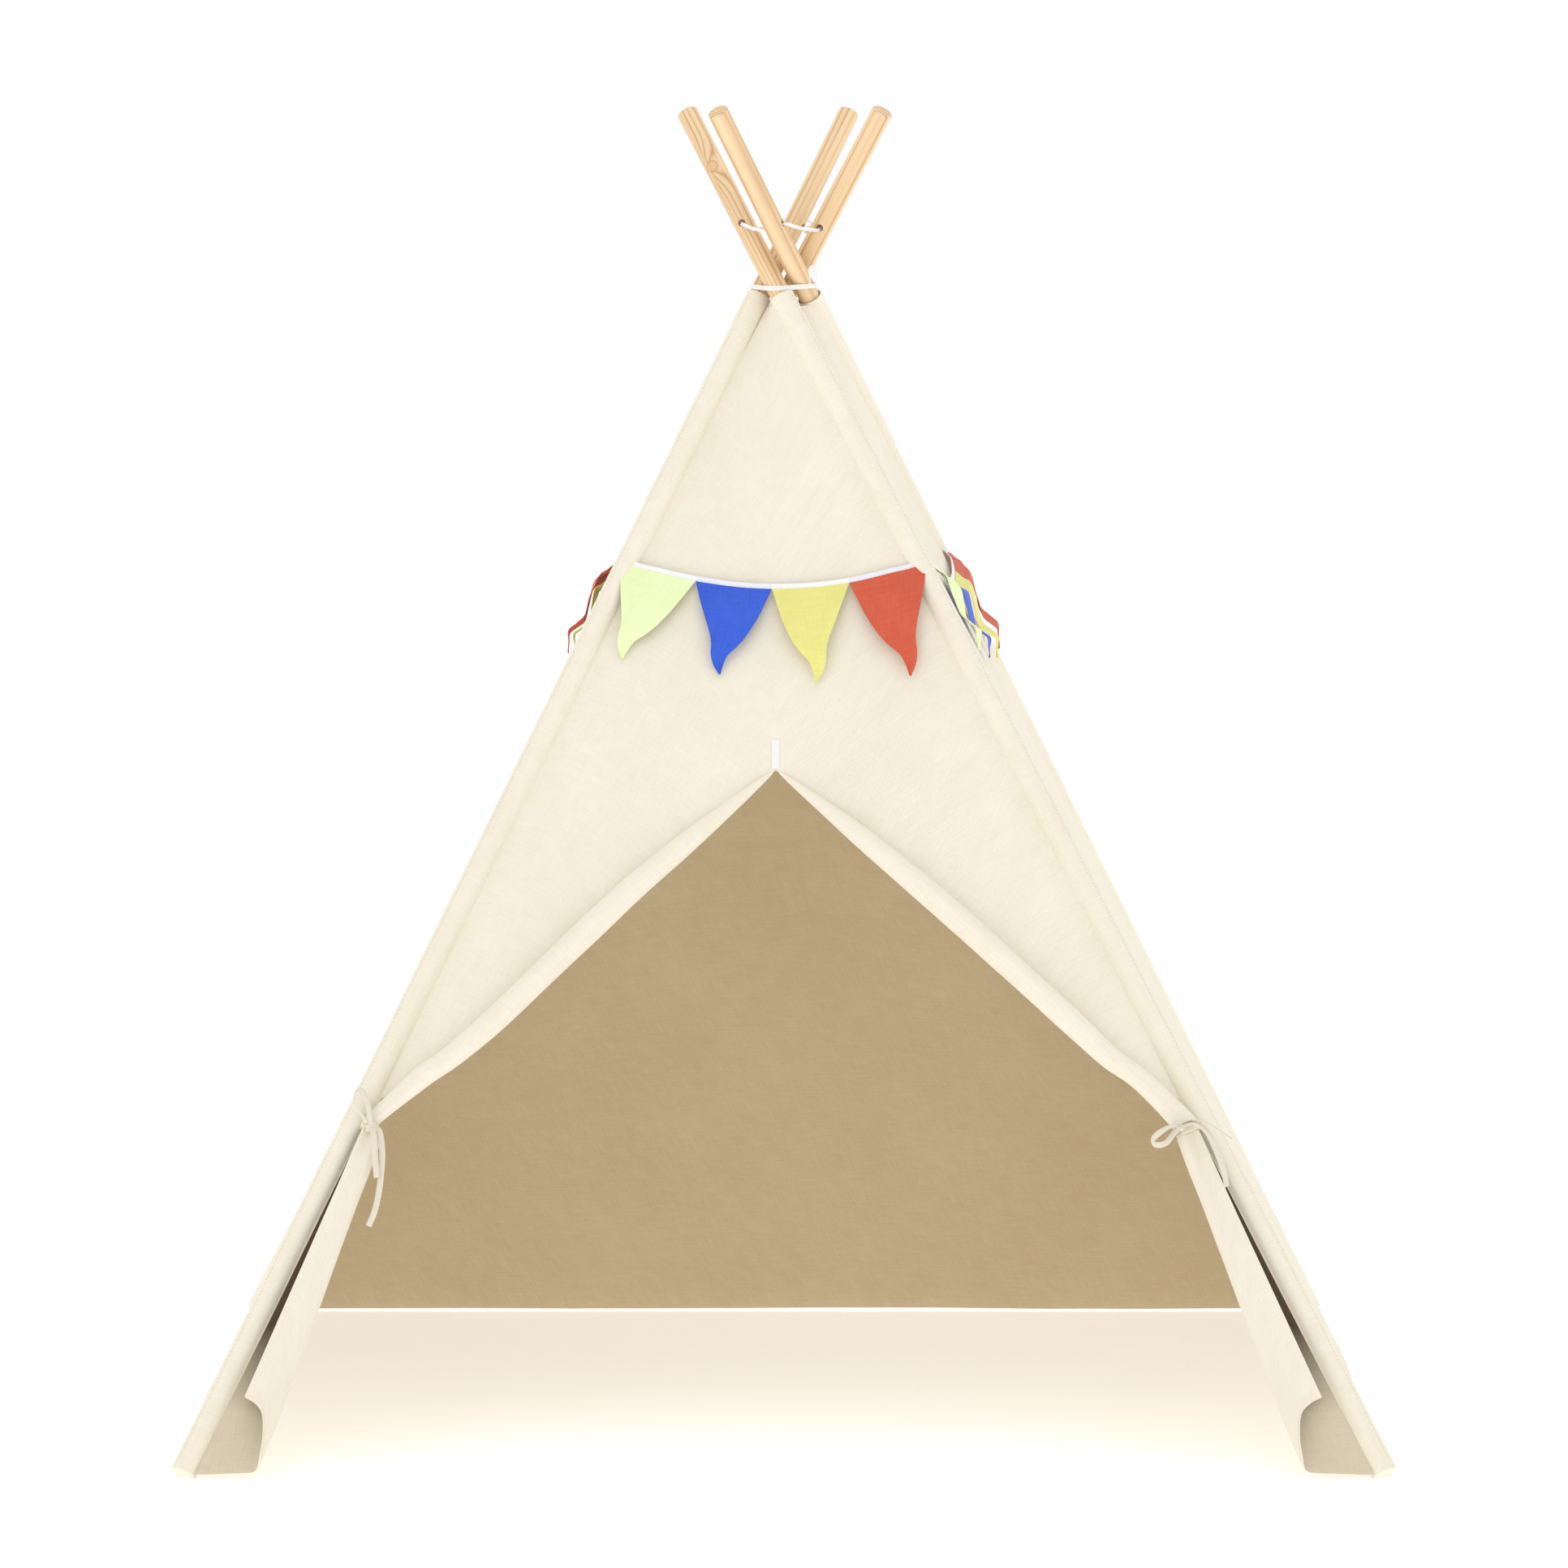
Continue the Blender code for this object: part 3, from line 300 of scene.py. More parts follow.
def wrinkle(side, share, height):
    width = cover_width(height)
    x = share * width - width / 2
    total = 0.0
    start_x, start_y = WRINKLE_NOISE_START
    seed = WRINKLE_SEED_STEP * side
    for i, (wide, high, size) in enumerate(WRINKLES):
        total = total + size * soft_noise(x / wide + start_x, height / high + start_y, seed + i)
    edge = np.minimum(share, 1.0 - share) * width
    total = total * smoothstep(0.0, WRINKLE_EDGE_FADE, edge) * smoothstep(*WRINKLE_TOP_FADE, height)
    total = total - VALLEY_DEPTH * bell(edge, VALLEY_WIDTH)
    for line, size in CREASES:
        total = total + size * bell(height - line, CREASE_WIDTH) * smoothstep(0.0, CREASE_EDGE_FADE, edge)
    if side == 0:
        fan = np.arctan2(x, height - DOOR_TOP_HEIGHT + PULL_CENTRE_DROP)
        far = np.hypot(x, height - DOOR_TOP_HEIGHT)
        pull = bell(far, PULL_REACH) * smoothstep(*PULL_FADE, far)
        total = total + PULL_SIZE * pull * np.cos(PULL_RAYS * fan + PULL_TURN)
        ridge = bell(x + RIDGE_SHIFT, RIDGE_WIDTH) * smoothstep(*RIDGE_LOW_FADE, height)
        total = total + RIDGE_SIZE * ridge * smoothstep(*RIDGE_TOP_FADE, height)
    return total


def skin(side, share, height, lift=0.0):
    """A point of the cover's outer face, lifted off it, in the front side's place."""
    share, height = np.broadcast_arrays(share, height)
    hem = HEM_LIFT * smoothstep(*HEM_END, height)
    out = PANEL_THICKNESS + wrinkle(side, share, height) + hem + lift
    return cover_point(share, height) + cover_axes(share, height)[2] * out[..., None]


def skin_normal(side, share, height):
    wide = NORMAL_STEP / cover_width(height)
    across = skin(side, share + wide, height) - skin(side, share - wide, height)
    up = skin(side, share, height + NORMAL_STEP) - skin(side, share, height - NORMAL_STEP)
    return unit(np.cross(across, up))


# Meshes from grids of points
WELD_DISTANCE = 2e-6
TINY = 1e-15


def grid_normals(points, wrap):
    """Unit normals of a grid, along columns crossed with rows."""
    rows = np.gradient(points, axis=0)
    if wrap:
        columns = np.roll(points, -1, 1) - np.roll(points, 1, 1)
    else:
        columns = np.gradient(points, axis=1)
    return unit(np.cross(columns, rows) + TINY)


def lengths_along(points, axis):
    steps = np.linalg.norm(np.diff(points, axis=axis), axis=-1)
    zero = np.zeros_like(np.take(steps, [0], axis=axis))
    return np.cumsum(np.concatenate((zero, steps), axis=axis), axis=axis)


def cell_areas(points):
    across, up = np.gradient(points, axis=1), np.gradient(points, axis=0)
    return np.linalg.norm(np.cross(across, up), axis=-1)


class Parts:
    """Grids gathered into one mesh, with a map in metres and finishes for the outer and inner faces."""

    def __init__(self):
        self.points, self.faces, self.slots, self.normals, self.metres = [], [], [], [], []
        self.count = 0

    def _add(self, points, faces, slot, normals, metres):
        for face in faces:
            self.faces.append([int(i) + self.count for i in face])
            self.slots.append(slot)
        self.points.append(points)
        self.normals.extend(normals)
        self.metres.extend(metres)
        self.count += len(points)

    def face_layer(self, grid, normals, metres, slot, wrap, flip):
        rows, columns = grid.shape[:2]
        index = np.arange(rows * columns).reshape(rows, columns)
        if wrap:
            index = np.concatenate((index, index[:, :1]), 1)
            metres = np.concatenate((metres, metres[:, :1]), 1)
            girth = lengths_along(np.concatenate((grid, grid[:, :1]), 1), 1)[:, -1]
            metres[:, -1, 0] = metres[:, 0, 0] + girth
        corners = [index[:-1, :-1], index[:-1, 1:], index[1:, 1:], index[1:, :-1]]
        maps = [metres[:-1, :-1], metres[:-1, 1:], metres[1:, 1:], metres[1:, :-1]]
        if flip:
            corners, maps = corners[::-1], maps[::-1]
        faces = np.stack(corners, -1).reshape(-1, 4)
        placed = np.stack(maps, -2).reshape(-1, 2)
        flat = normals.reshape(-1, 3)
        self._add(grid.reshape(-1, 3), faces, slot, flat[faces.ravel()], placed)

    def strip(self, near, far, slot=0):
        """Flat faces between two open lines of points, for the cut edge of a sheet."""
        count = len(near)
        index = np.arange(count)
        faces = np.stack((index[1:], index[:-1], index[:-1] + count, index[1:] + count), -1)
        points = np.concatenate((near, far))
        normal = unit(np.cross(near[:-1] - near[1:], far[:-1] - near[:-1]) + TINY)
        run = np.concatenate(([0.0], np.cumsum(np.linalg.norm(np.diff(near, axis=0), axis=-1))))
        metres = np.stack((np.tile(run, 2), np.repeat((0.0, 0.001), count)), -1)
        self._add(points, faces, slot, np.repeat(normal, 4, 0), metres[faces.ravel()])

    def sheet(self, outer, inner, metres=None, normals=None, wrap=False, slots=(0, 1)):
        """A closed thin body between two grids; the columns crossed with the rows point outward."""
        if metres is None:
            metres = np.stack((lengths_along(outer, 1), lengths_along(outer, 0)), -1)
        if normals is None:
            normals = grid_normals(outer, wrap)
        self.face_layer(outer, normals, metres, slots[0], wrap, False)
        self.face_layer(inner, -normals, metres, slots[1], wrap, True)
        for row, flip in ((0, False), (-1, True)):
            near, far = outer[row], inner[row]
            if wrap:
                near, far = np.append(near, near[:1], 0), np.append(far, far[:1], 0)
            if flip:
                near, far = near[::-1], far[::-1]
            self.strip(near, far, slots[0])
        if not wrap:
            self.strip(outer[::-1, 0], inner[::-1, 0], slots[0])
            self.strip(outer[:, -1], inner[:, -1], slots[0])

    def tube(self, rings, slot=0, caps=True):
        """A closed tube through rings of points; the columns crossed with the rows point outward."""
        metres = np.stack((lengths_along(rings, 1), lengths_along(rings, 0)), -1)
        self.face_layer(rings, grid_normals(rings, True), metres, slot, True, False)
        if caps:
            for ring, flip in ((rings[0], False), (rings[-1], True)):
                loop = ring if flip else ring[::-1]
                normal = unit(np.cross(loop[1] - loop[0], loop[len(loop) // 2] - loop[0]))
                flat = np.stack((loop[:, 0], loop[:, 2]), -1)
                self._add(loop, [range(len(loop))], slot, np.tile(normal, (len(loop), 1)), flat)

    def made(self, name, finishes):
        """The gathered grids as one object, welded where their points meet."""
        mesh_data = bpy.data.meshes.new(name)
        points = np.concatenate(self.points)
        keys = np.round(points / WELD_DISTANCE).astype(np.int64)
        _, first, back = np.unique(keys, axis=0, return_index=True, return_inverse=True)
        back = back.ravel()
        faces = [[int(back[i]) for i in face] for face in self.faces]
        mesh_data.from_pydata(points[first].tolist(), [], faces)
        for look in finishes:
            mesh_data.materials.append(look)
        mesh_data.polygons.foreach_set("material_index", self.slots)
        layer = mesh_data.uv_layers.new(name="cloth")
        layer.uv.foreach_set("vector", np.asarray(self.metres, np.float32).ravel())
        mesh_data.shade_smooth()
        mesh_data.normals_split_custom_set(np.asarray(self.normals, np.float32).tolist())
        mesh_data.update()
        made = bpy.data.objects.new(name, mesh_data)
        bpy.context.scene.collection.objects.link(made)
        return made


# How a half of one side flattens towards its leg when the legs fold together
FOLD_PLAN_HEIGHTS = (0.2, 1.0)
FOLD_SEAM_HEIGHT = 0.5


def fold_plan(turns, sign):
    """Direction, seam point and share kept of the front half that rides on a leg."""
    heights = np.array(FOLD_PLAN_HEIGHTS)
    left, right = folded(3, cover_point(0.0, heights)), folded(0, cover_point(1.0, heights))
    target = folded(turns, (left + right) / 2, -FOLD_ANGLE)
    middle = cover_point(0.5, heights)
    rest_way, target_way = unit(middle[1] - middle[0]), unit(target[1] - target[0])
    pole_way = turned(POLE_UP, turns)
    way = unit(np.cross(pole_way, np.cross(rest_way, target_way)))
    seam = cover_point(0.0 if sign < 0 else 1.0, FOLD_SEAM_HEIGHT)
    if (middle[0] - seam) @ way < 0.0:
        way = -way
    gap = middle[0] - target[0]
    system = np.stack((way, target_way), -1)
    move = np.linalg.lstsq(system, gap, rcond=None)[0][0]
    reach = (middle[0] - seam) @ way
    return way, seam, 1.0 - move / reach


FOLD_PLANS = tuple(fold_plan(turns, sign) for _, turns, sign in FRONT_LEGS)


def leg_of(side, half):
    return LEG_NAMES[(side - 1 + half) % 4]


def flatten(piece, half, anchor=None, height=None):
    """Works out how a soft piece of a side's half would flatten with the legs, from the seam or from its own
    anchor, and gives the piece its own mesh; the piece itself is not moved.
    """
    way, seam, keep = FOLD_PLANS[half]
    if anchor is not None:
        middle = cover_point(0.5, height)
        move = ((middle - seam) @ way) * (1.0 - keep)
        keep = 1.0 - move / ((middle - anchor) @ way)
        seam = anchor
    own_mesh(piece)


# Finishes
def finish(name, colour, roughness, metallic=0.0):
    made = bpy.data.materials.new(name)
    made.use_nodes = True
    shader = made.node_tree.nodes["Principled BSDF"]
    shader.inputs["Base Color"].default_value = (*colour, 1.0)
    shader.inputs["Roughness"].default_value = roughness
    shader.inputs["Metallic"].default_value = metallic
    return made


def node(made, kind, inputs=None, **settings):
    added = made.node_tree.nodes.new(kind)
    for key, value in settings.items():
        setattr(added, key, value)
    for key, value in (inputs or {}).items():
        if isinstance(value, bpy.types.NodeSocket):
            made.node_tree.links.new(value, added.inputs[key])
        else:
            added.inputs[key].default_value = value
    return added


def calc(made, operation, first, second=0.0, third=0.0):
    return node(made, "ShaderNodeMath", {0: first, 1: second, 2: third}, operation=operation).outputs[0]


def mixed(made, share, first, second):
    added = node(made, "ShaderNodeMix", {0: share}, data_type="RGBA")
    for place, value in ((6, first), (7, second)):
        if isinstance(value, bpy.types.NodeSocket):
            made.node_tree.links.new(value, added.inputs[place])
        else:
            added.inputs[place].default_value = (*value, 1.0)
    return added.outputs[2]


def ramp(made, value, low, high):
    return node(made, "ShaderNodeMapRange", {0: value, 1: low, 2: high}).outputs[0]


def scaled(made, place, shares):
    return node(made, "ShaderNodeVectorMath", {0: place, 1: shares}, operation="MULTIPLY").outputs[0]


def noise_of(made, place, scale, detail=2.0, rough=0.5):
    inputs = {"Vector": place, "Scale": scale, "Detail": detail, "Roughness": rough}
    return node(made, "ShaderNodeTexNoise", inputs).outputs[0]


def bumped(made, height, strength, distance):
    bump = node(made, "ShaderNodeBump", {"Height": height, "Strength": strength, "Distance": distance})
    made.node_tree.links.new(bump.outputs[0], made.node_tree.nodes["Principled BSDF"].inputs["Normal"])


def paint(made, socket, value):
    made.node_tree.links.new(value, made.node_tree.nodes["Principled BSDF"].inputs[socket])


# Woven cloth: noise scales by the metre, each pattern's share of the tone, roughness as slope and base, bump
YARN_SCALE = 620.0
SLUB_SCALE = 420.0
SLUB_STRETCH = 0.09
PATCH_SCALE = 45.0
BROAD_SCALE = 7.0
YARN_SHARE = 0.55
PATCH_SHARE = 0.45
CHECK_SHARE = 0.05
SLUB_SHARE = 0.55
BROAD_SHARE = 0.5
TONE_RANGE = (0.72, 0.28)
CLOTH_ROUGHNESS = (0.16, 0.80)
CLOTH_SHEEN = 0.15
WEAVE_HEIGHT = 0.5
YARN_HEIGHT = 1.2
CLOTH_BUMP = (0.30, 0.00035)


def cloth_finish(name, colour, deep, thread=0.0009, painted_shade=None):
    """Crossing threads, uneven yarn and mottling, on a map in metres; painted shade, if given, is its two
    ends along the map and its dark colour.
    """
    made = finish(name, colour, 0.9)
    shader = made.node_tree.nodes["Principled BSDF"]
    shader.inputs["Sheen Weight"].default_value = CLOTH_SHEEN
    shader.inputs["Sheen Roughness"].default_value = 0.5
    shader.inputs["Specular IOR Level"].default_value = 0.25
    place = node(made, "ShaderNodeUVMap", uv_map="cloth").outputs[0]
    axes = node(made, "ShaderNodeSeparateXYZ", {0: place})
    turns = math.tau / thread
    warp = calc(made, "SINE", calc(made, "MULTIPLY", axes.outputs[0], turns))
    weft = calc(made, "SINE", calc(made, "MULTIPLY", axes.outputs[1], turns))
    checks = calc(made, "MULTIPLY", warp, weft)
    yarn = noise_of(made, place, YARN_SCALE, 3.0, 0.6)
    wefts = scaled(made, place, (SLUB_STRETCH, 1.0, 1.0))
    warps = scaled(made, place, (1.0, SLUB_STRETCH, 1.0))
    slubs = calc(made, "ADD", noise_of(made, wefts, SLUB_SCALE), noise_of(made, warps, SLUB_SCALE))
    patches = noise_of(made, place, PATCH_SCALE, 3.0, 0.55)
    broad = noise_of(made, place, BROAD_SCALE)
    tone = calc(made, "MULTIPLY_ADD", yarn, YARN_SHARE, calc(made, "MULTIPLY", patches, PATCH_SHARE))
    tone = calc(made, "MULTIPLY_ADD", checks, CHECK_SHARE, tone)
    tone = calc(made, "MULTIPLY_ADD", calc(made, "SUBTRACT", slubs, 1.0), SLUB_SHARE, tone)
    tone = calc(made, "MULTIPLY_ADD", calc(made, "SUBTRACT", broad, 0.5), BROAD_SHARE, tone)
    woven = mixed(made, ramp(made, tone, *TONE_RANGE), colour, deep)
    # Shade painted into the colour: the cloth turns to the dark colour between the two ends, along the map's
    # second axis.
    if painted_shade:
        low, high, dark = painted_shade
        woven = mixed(made, ramp(made, axes.outputs[1], low, high), woven, dark)
    paint(made, "Base Color", woven)
    paint(made, "Roughness", calc(made, "MULTIPLY_ADD", yarn, *CLOTH_ROUGHNESS))
    height = calc(made, "MULTIPLY_ADD", checks, WEAVE_HEIGHT, calc(made, "MULTIPLY", yarn, YARN_HEIGHT))
    bumped(made, height, *CLOTH_BUMP)
    return made


# Woven tape: how far its ribs, its yarn and its tint show
RIB_WARP_PITCH = 1.4
RIB_YARN_SCALE = 700.0
RIB_SHARE = 0.10
RIB_TONE_RANGE = (0.75, 0.25)
RIB_TINT_SHARE = 0.75
RIB_ROUGHNESS = (0.2, 0.65)
RIB_WARP_SHARE = 0.3
RIB_BUMP = (0.3, 0.0003)


def ribbed_finish(name, colour, deep, ribs=0.0008, tint=None):
    """Woven tape: fine ribs across it and a soft yarn; a tint marks the tape over every other pennant."""
    made = finish(name, colour, 0.75)
    made.node_tree.nodes["Principled BSDF"].inputs["Sheen Weight"].default_value = 0.1
    place = node(made, "ShaderNodeUVMap", uv_map="cloth").outputs[0]
    axes = node(made, "ShaderNodeSeparateXYZ", {0: place})
    rib = calc(made, "SINE", calc(made, "MULTIPLY", axes.outputs[1], math.tau / ribs))
    warp = calc(made, "SINE", calc(made, "MULTIPLY", axes.outputs[0], math.tau / (ribs * RIB_WARP_PITCH)))
    yarn = noise_of(made, place, RIB_YARN_SCALE, 2.0)
    shade = ramp(made, calc(made, "MULTIPLY_ADD", rib, RIB_SHARE, yarn), *RIB_TONE_RANGE)
    woven = mixed(made, shade, colour, deep)
    if tint:
        step = calc(made, "FLOOR", calc(made, "DIVIDE", axes.outputs[1], TAPE_TOTAL / PENNANTS_PER_SIDE))
        odd = calc(made, "PINGPONG", step, 1.0)
        woven = mixed(made, calc(made, "MULTIPLY", odd, RIB_TINT_SHARE), woven, tint)
    paint(made, "Base Color", woven)
    paint(made, "Roughness", calc(made, "MULTIPLY_ADD", yarn, *RIB_ROUGHNESS))
    height = calc(made, "MULTIPLY_ADD", warp, RIB_WARP_SHARE, calc(made, "ADD", rib, yarn))
    bumped(made, height, *RIB_BUMP)
    return made


# Pine: colours, how the patterns stretch along the pole, and how far rings, fibres and knots show
WOOD_PLAIN = (0.90, 0.68, 0.41)
WOOD_PALE = (0.87, 0.655, 0.40)
WOOD_DEEP = (0.52, 0.305, 0.135)
WOOD_HEART = (0.70, 0.43, 0.20)
WOOD_RIM = (0.45, 0.24, 0.10)
WOOD_SWAY_STRETCH = (1.0, 1.0, 0.05)
WOOD_FIBRE_STRETCH = (1.0, 1.0, 0.014)
WOOD_KNOT_STRETCH = (1.0, 1.0, 0.4)
WOOD_SWAY = 0.0085
WOOD_SWAY_SCALE = 30.0
WOOD_SWAY_SCALE_STEP = 5.0
WOOD_KNOT_REACH = 2.6
WOOD_KNOT_BEND = 1.5
WOOD_WEIGHT_SCALE = 190.0
WOOD_WEIGHT_RANGE = (0.22, 0.55)
WOOD_FIBRE_SCALE = 620.0
WOOD_STREAK_RANGE = (0.35, 0.75)
WOOD_STREAK_SHARE = 0.22
WOOD_LINE_SHARE = 0.95
WOOD_BROAD_SCALE = 75.0
WOOD_BROAD_MIDDLE = 0.40
WOOD_BROAD_SHARE = 1.1
WOOD_HEART_EDGE = 0.8
WOOD_HEART_SHARE = 0.55
WOOD_RIM_PLACE = 0.92
WOOD_RIM_WIDTH = 0.10
WOOD_RIM_SHARE = 0.6
WOOD_ROUGHNESS = (0.2, 0.42)
WOOD_LINE_HEIGHT = -0.6
WOOD_BUMP = (0.2, 0.0003)


def wood_finish(name, turns, grain, knots):
    """Turned along its pole; grain is the pith's offsets and a ring's width, knots height, angle and size."""
    made = finish(name, WOOD_PLAIN, 0.55)
    axes = Matrix(turned(LEG_AXES, turns).tolist())
    centre = turned(CROSSING, turns)
    here = node(made, "ShaderNodeTexCoord").outputs["Object"]
    moved = node(made, "ShaderNodeVectorMath", {0: here, 1: tuple(-centre)}, operation="ADD").outputs[0]
    turn = node(made, "ShaderNodeVectorRotate", {"Vector": moved}, rotation_type="EULER_XYZ")
    turn.inputs["Rotation"].default_value = axes.to_euler()
    place = turn.outputs[0]
    slow, long = scaled(made, place, WOOD_SWAY_STRETCH), scaled(made, place, WOOD_FIBRE_STRETCH)
    parts = node(made, "ShaderNodeSeparateXYZ", {0: place})
    pith_x, pith_y, ring_width = grain
    across = calc(made, "SUBTRACT", parts.outputs[0], pith_x)
    beside = calc(made, "SUBTRACT", parts.outputs[1], pith_y)
    squares = calc(made, "MULTIPLY_ADD", across, across, calc(made, "MULTIPLY", beside, beside))
    sway = noise_of(made, slow, WOOD_SWAY_SCALE + WOOD_SWAY_SCALE_STEP * turns, 2.0)
    sway = calc(made, "SUBTRACT", sway, 0.5)
    radius = calc(made, "MULTIPLY_ADD", sway, WOOD_SWAY, calc(made, "SQRT", squares))
    spots = []
    for height, side, size in knots:
        spots.append(((POLE_RADIUS * math.cos(side), POLE_RADIUS * math.sin(side), height), size))
    for spot, size in spots:
        away = node(made, "ShaderNodeVectorMath", {0: place, 1: spot}, operation="SUBTRACT").outputs[0]
        oval = scaled(made, away, WOOD_KNOT_STRETCH)
        near = node(made, "ShaderNodeVectorMath", {0: oval}, operation="LENGTH").outputs["Value"]
        bend = calc(made, "POWER", ramp(made, near, size * WOOD_KNOT_REACH, 0.0), 2.0)
        radius = calc(made, "MULTIPLY_ADD", bend, size * WOOD_KNOT_BEND, radius)
    ring = calc(made, "DIVIDE", radius, ring_width)
    late = calc(made, "POWER", calc(made, "PINGPONG", ring, 1.0), 3.0)
    weight = noise_of(made, long, WOOD_WEIGHT_SCALE, 2.0)
    fibre = noise_of(made, long, WOOD_FIBRE_SCALE, 3.0, 0.65)
    lines = calc(made, "MULTIPLY", late, ramp(made, weight, *WOOD_WEIGHT_RANGE))
    streaks = calc(made, "MULTIPLY", ramp(made, fibre, *WOOD_STREAK_RANGE), WOOD_STREAK_SHARE)
    tone = calc(made, "MULTIPLY_ADD", lines, WOOD_LINE_SHARE, streaks)
    broad = calc(made, "SUBTRACT", noise_of(made, slow, WOOD_BROAD_SCALE, 2.0), WOOD_BROAD_MIDDLE)
    tone = calc(made, "MULTIPLY_ADD", broad, WOOD_BROAD_SHARE, tone)
    colour = mixed(made, tone, WOOD_PALE, WOOD_DEEP)
    for spot, size in spots:
        away = node(made, "ShaderNodeVectorMath", {0: place, 1: spot}, operation="DISTANCE").outputs["Value"]
        heart = calc(made, "MULTIPLY", ramp(made, away, size, size * WOOD_HEART_EDGE), WOOD_HEART_SHARE)
        colour = mixed(made, heart, colour, WOOD_HEART)
        rim = calc(made, "COMPARE", away, size * WOOD_RIM_PLACE, size * WOOD_RIM_WIDTH)
        colour = mixed(made, calc(made, "MULTIPLY", rim, WOOD_RIM_SHARE), colour, WOOD_RIM)
    paint(made, "Base Color", colour)
    paint(made, "Roughness", calc(made, "MULTIPLY_ADD", fibre, *WOOD_ROUGHNESS))
    bumped(made, calc(made, "MULTIPLY_ADD", lines, WOOD_LINE_HEIGHT, fibre), *WOOD_BUMP)
    return made


# Steel of the ferrules
METAL_PLAIN = (0.62, 0.63, 0.65)
METAL_BRIGHT = (0.70, 0.71, 0.73)
METAL_DULL = (0.48, 0.49, 0.51)
METAL_GRAIN_SCALE = 900.0
METAL_ROUGHNESS = (0.25, 0.22)
METAL_BUMP = (0.1, 0.0001)


def metal_finish():
    made = finish("brushed_ferrule", METAL_PLAIN, 0.3, 1.0)
    here = node(made, "ShaderNodeTexCoord").outputs["Object"]
    grain = noise_of(made, here, METAL_GRAIN_SCALE, 3.0)
    paint(made, "Base Color", mixed(made, grain, METAL_BRIGHT, METAL_DULL))
    paint(made, "Roughness", calc(made, "MULTIPLY_ADD", grain, *METAL_ROUGHNESS))
    bumped(made, grain, *METAL_BUMP)
    return made


CANVAS = cloth_finish("canvas_outer", (0.86, 0.806, 0.685), (0.806, 0.741, 0.602))
# Inner faces: the same canvas, with a darker, warmer tan painted in as shade for the dim inside of the tent.
CANVAS_INNER_PAINTED_SHADE = cloth_finish("canvas_inner_painted_shade", (0.695, 0.587, 0.402), (0.625, 0.514, 0.333))
# Inside the door curtains' folds: a darker tan of painted shade, blending into painted dark brown shade
# between 0.07 and 0.17 m up the cloth from the hem, with the dark brown above.
FOLD_SHADE = (0.07, 0.17, (0.09, 0.06, 0.035))
FOLD_INNER_PAINTED_SHADE = cloth_finish("canvas_in_fold_painted_shade", (0.66, 0.58, 0.44), (0.60, 0.52, 0.38), painted_shade=FOLD_SHADE)
THREAD = cloth_finish("sewing_thread", (0.80, 0.72, 0.56), (0.66, 0.57, 0.42), thread=0.0004)
CREAM_TAPE = ribbed_finish("cream_tape", (0.80, 0.745, 0.63), (0.70, 0.635, 0.51))
WHITE_TAPE = ribbed_finish("white_tape", (0.90, 0.89, 0.885), (0.83, 0.81, 0.805))
WHITE_CORD = ribbed_finish("white_cord", (0.92, 0.91, 0.885), (0.80, 0.78, 0.74), ribs=0.0010)
PENNANT_CLOTHS = (
    ("light_green_cloth", (0.82, 0.92, 0.53), (0.76, 0.87, 0.46)),
    ("blue_cloth", (0.045, 0.125, 0.68), (0.032, 0.092, 0.56)),
    ("yellow_cloth", (0.81, 0.775, 0.265), (0.74, 0.70, 0.21)),
    ("red_cloth", (0.665, 0.122, 0.063), (0.57, 0.092, 0.05)),
)
PENNANT_FINISHES = [cloth_finish(*cloth, thread=0.0007) for cloth in PENNANT_CLOTHS]


def sewn_on(side, half, piece):
    SEWN_ON.setdefault((side, half), []).append(piece)


def placed(piece, body, slot, *nodes):
    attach(piece, body)
    if nodes:
        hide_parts(*nodes)
    return piece


# Poles and ferrules keep their solids and get their finishes
WOOD_GRAINS = (
    (0.016, 0.010, 0.0021),
    (-0.030, -0.020, 0.0026),
    (0.012, -0.017, 0.0030),
    (-0.022, 0.013, 0.0034),
)
WOOD_KNOTS = (
    ((0.136, 1.97, 0.0068),),
    ((0.060, 3.60, 0.0040),),
    ((0.175, 2.80, 0.0045),),
    ((0.095, 1.20, 0.0040),),
)


def dressed(name, look):
    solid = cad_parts[name]
    solid.data.materials.clear()
    solid.data.materials.append(look)


def dress_poles():
    metal = metal_finish()
    for turns, leg in enumerate(LEG_NAMES):
        wood = wood_finish("pine_" + leg, turns, WOOD_GRAINS[turns], WOOD_KNOTS[turns])
        for section in ("lower", "middle", "upper"):
            dressed(section + "_pole_" + leg, wood)
        for section in ("lower", "middle"):
            dressed(section + "_ferrule_" + leg, metal)


# Cloth sleeves round the poles, with the line of stitches that closes them
STITCH_LENGTH = 0.0029
STITCH_PITCH = 0.0044
STITCH_WIDTH = 0.0005
STITCH_HEIGHT = 0.00035
TOE_RINGS = ((0.0, 0.0011), (0.03, 0.0004), (0.10, 0.0), (0.35, -0.0005), (0.70, -0.0009), (0.98, -0.0010))
TOE_RUN = (SLEEVE_TOE_HEIGHT - CROSSING_HEIGHT) / POLE_UP[2]
SLEEVE_FLOOR_GAP = 0.0002
SLEEVE_TOE_DEPTH = 0.012
SLEEVE_SIDES = 40
SLEEVE_ROWS = 90
SLEEVE_ROW_BUNCHING = 0.06
SLEEVE_LOOSENESS = ((1.3, 9.0, 0.16, 60, 0.00022), (2.2, 3.0, 0.05, 70, 0.00010))
SLEEVE_NOISE_START = 40.0
SLEEVE_SEAM_TOP_GAP = 0.004
SLEEVE_SEAM_POINTS = 120


STITCH_STEPS = np.array((0.0, 0.2, 0.8, 1.0))
STITCH_SIZES = np.array((0.25, 1.0, 1.0, 0.25))
STITCH_SIDES = 6


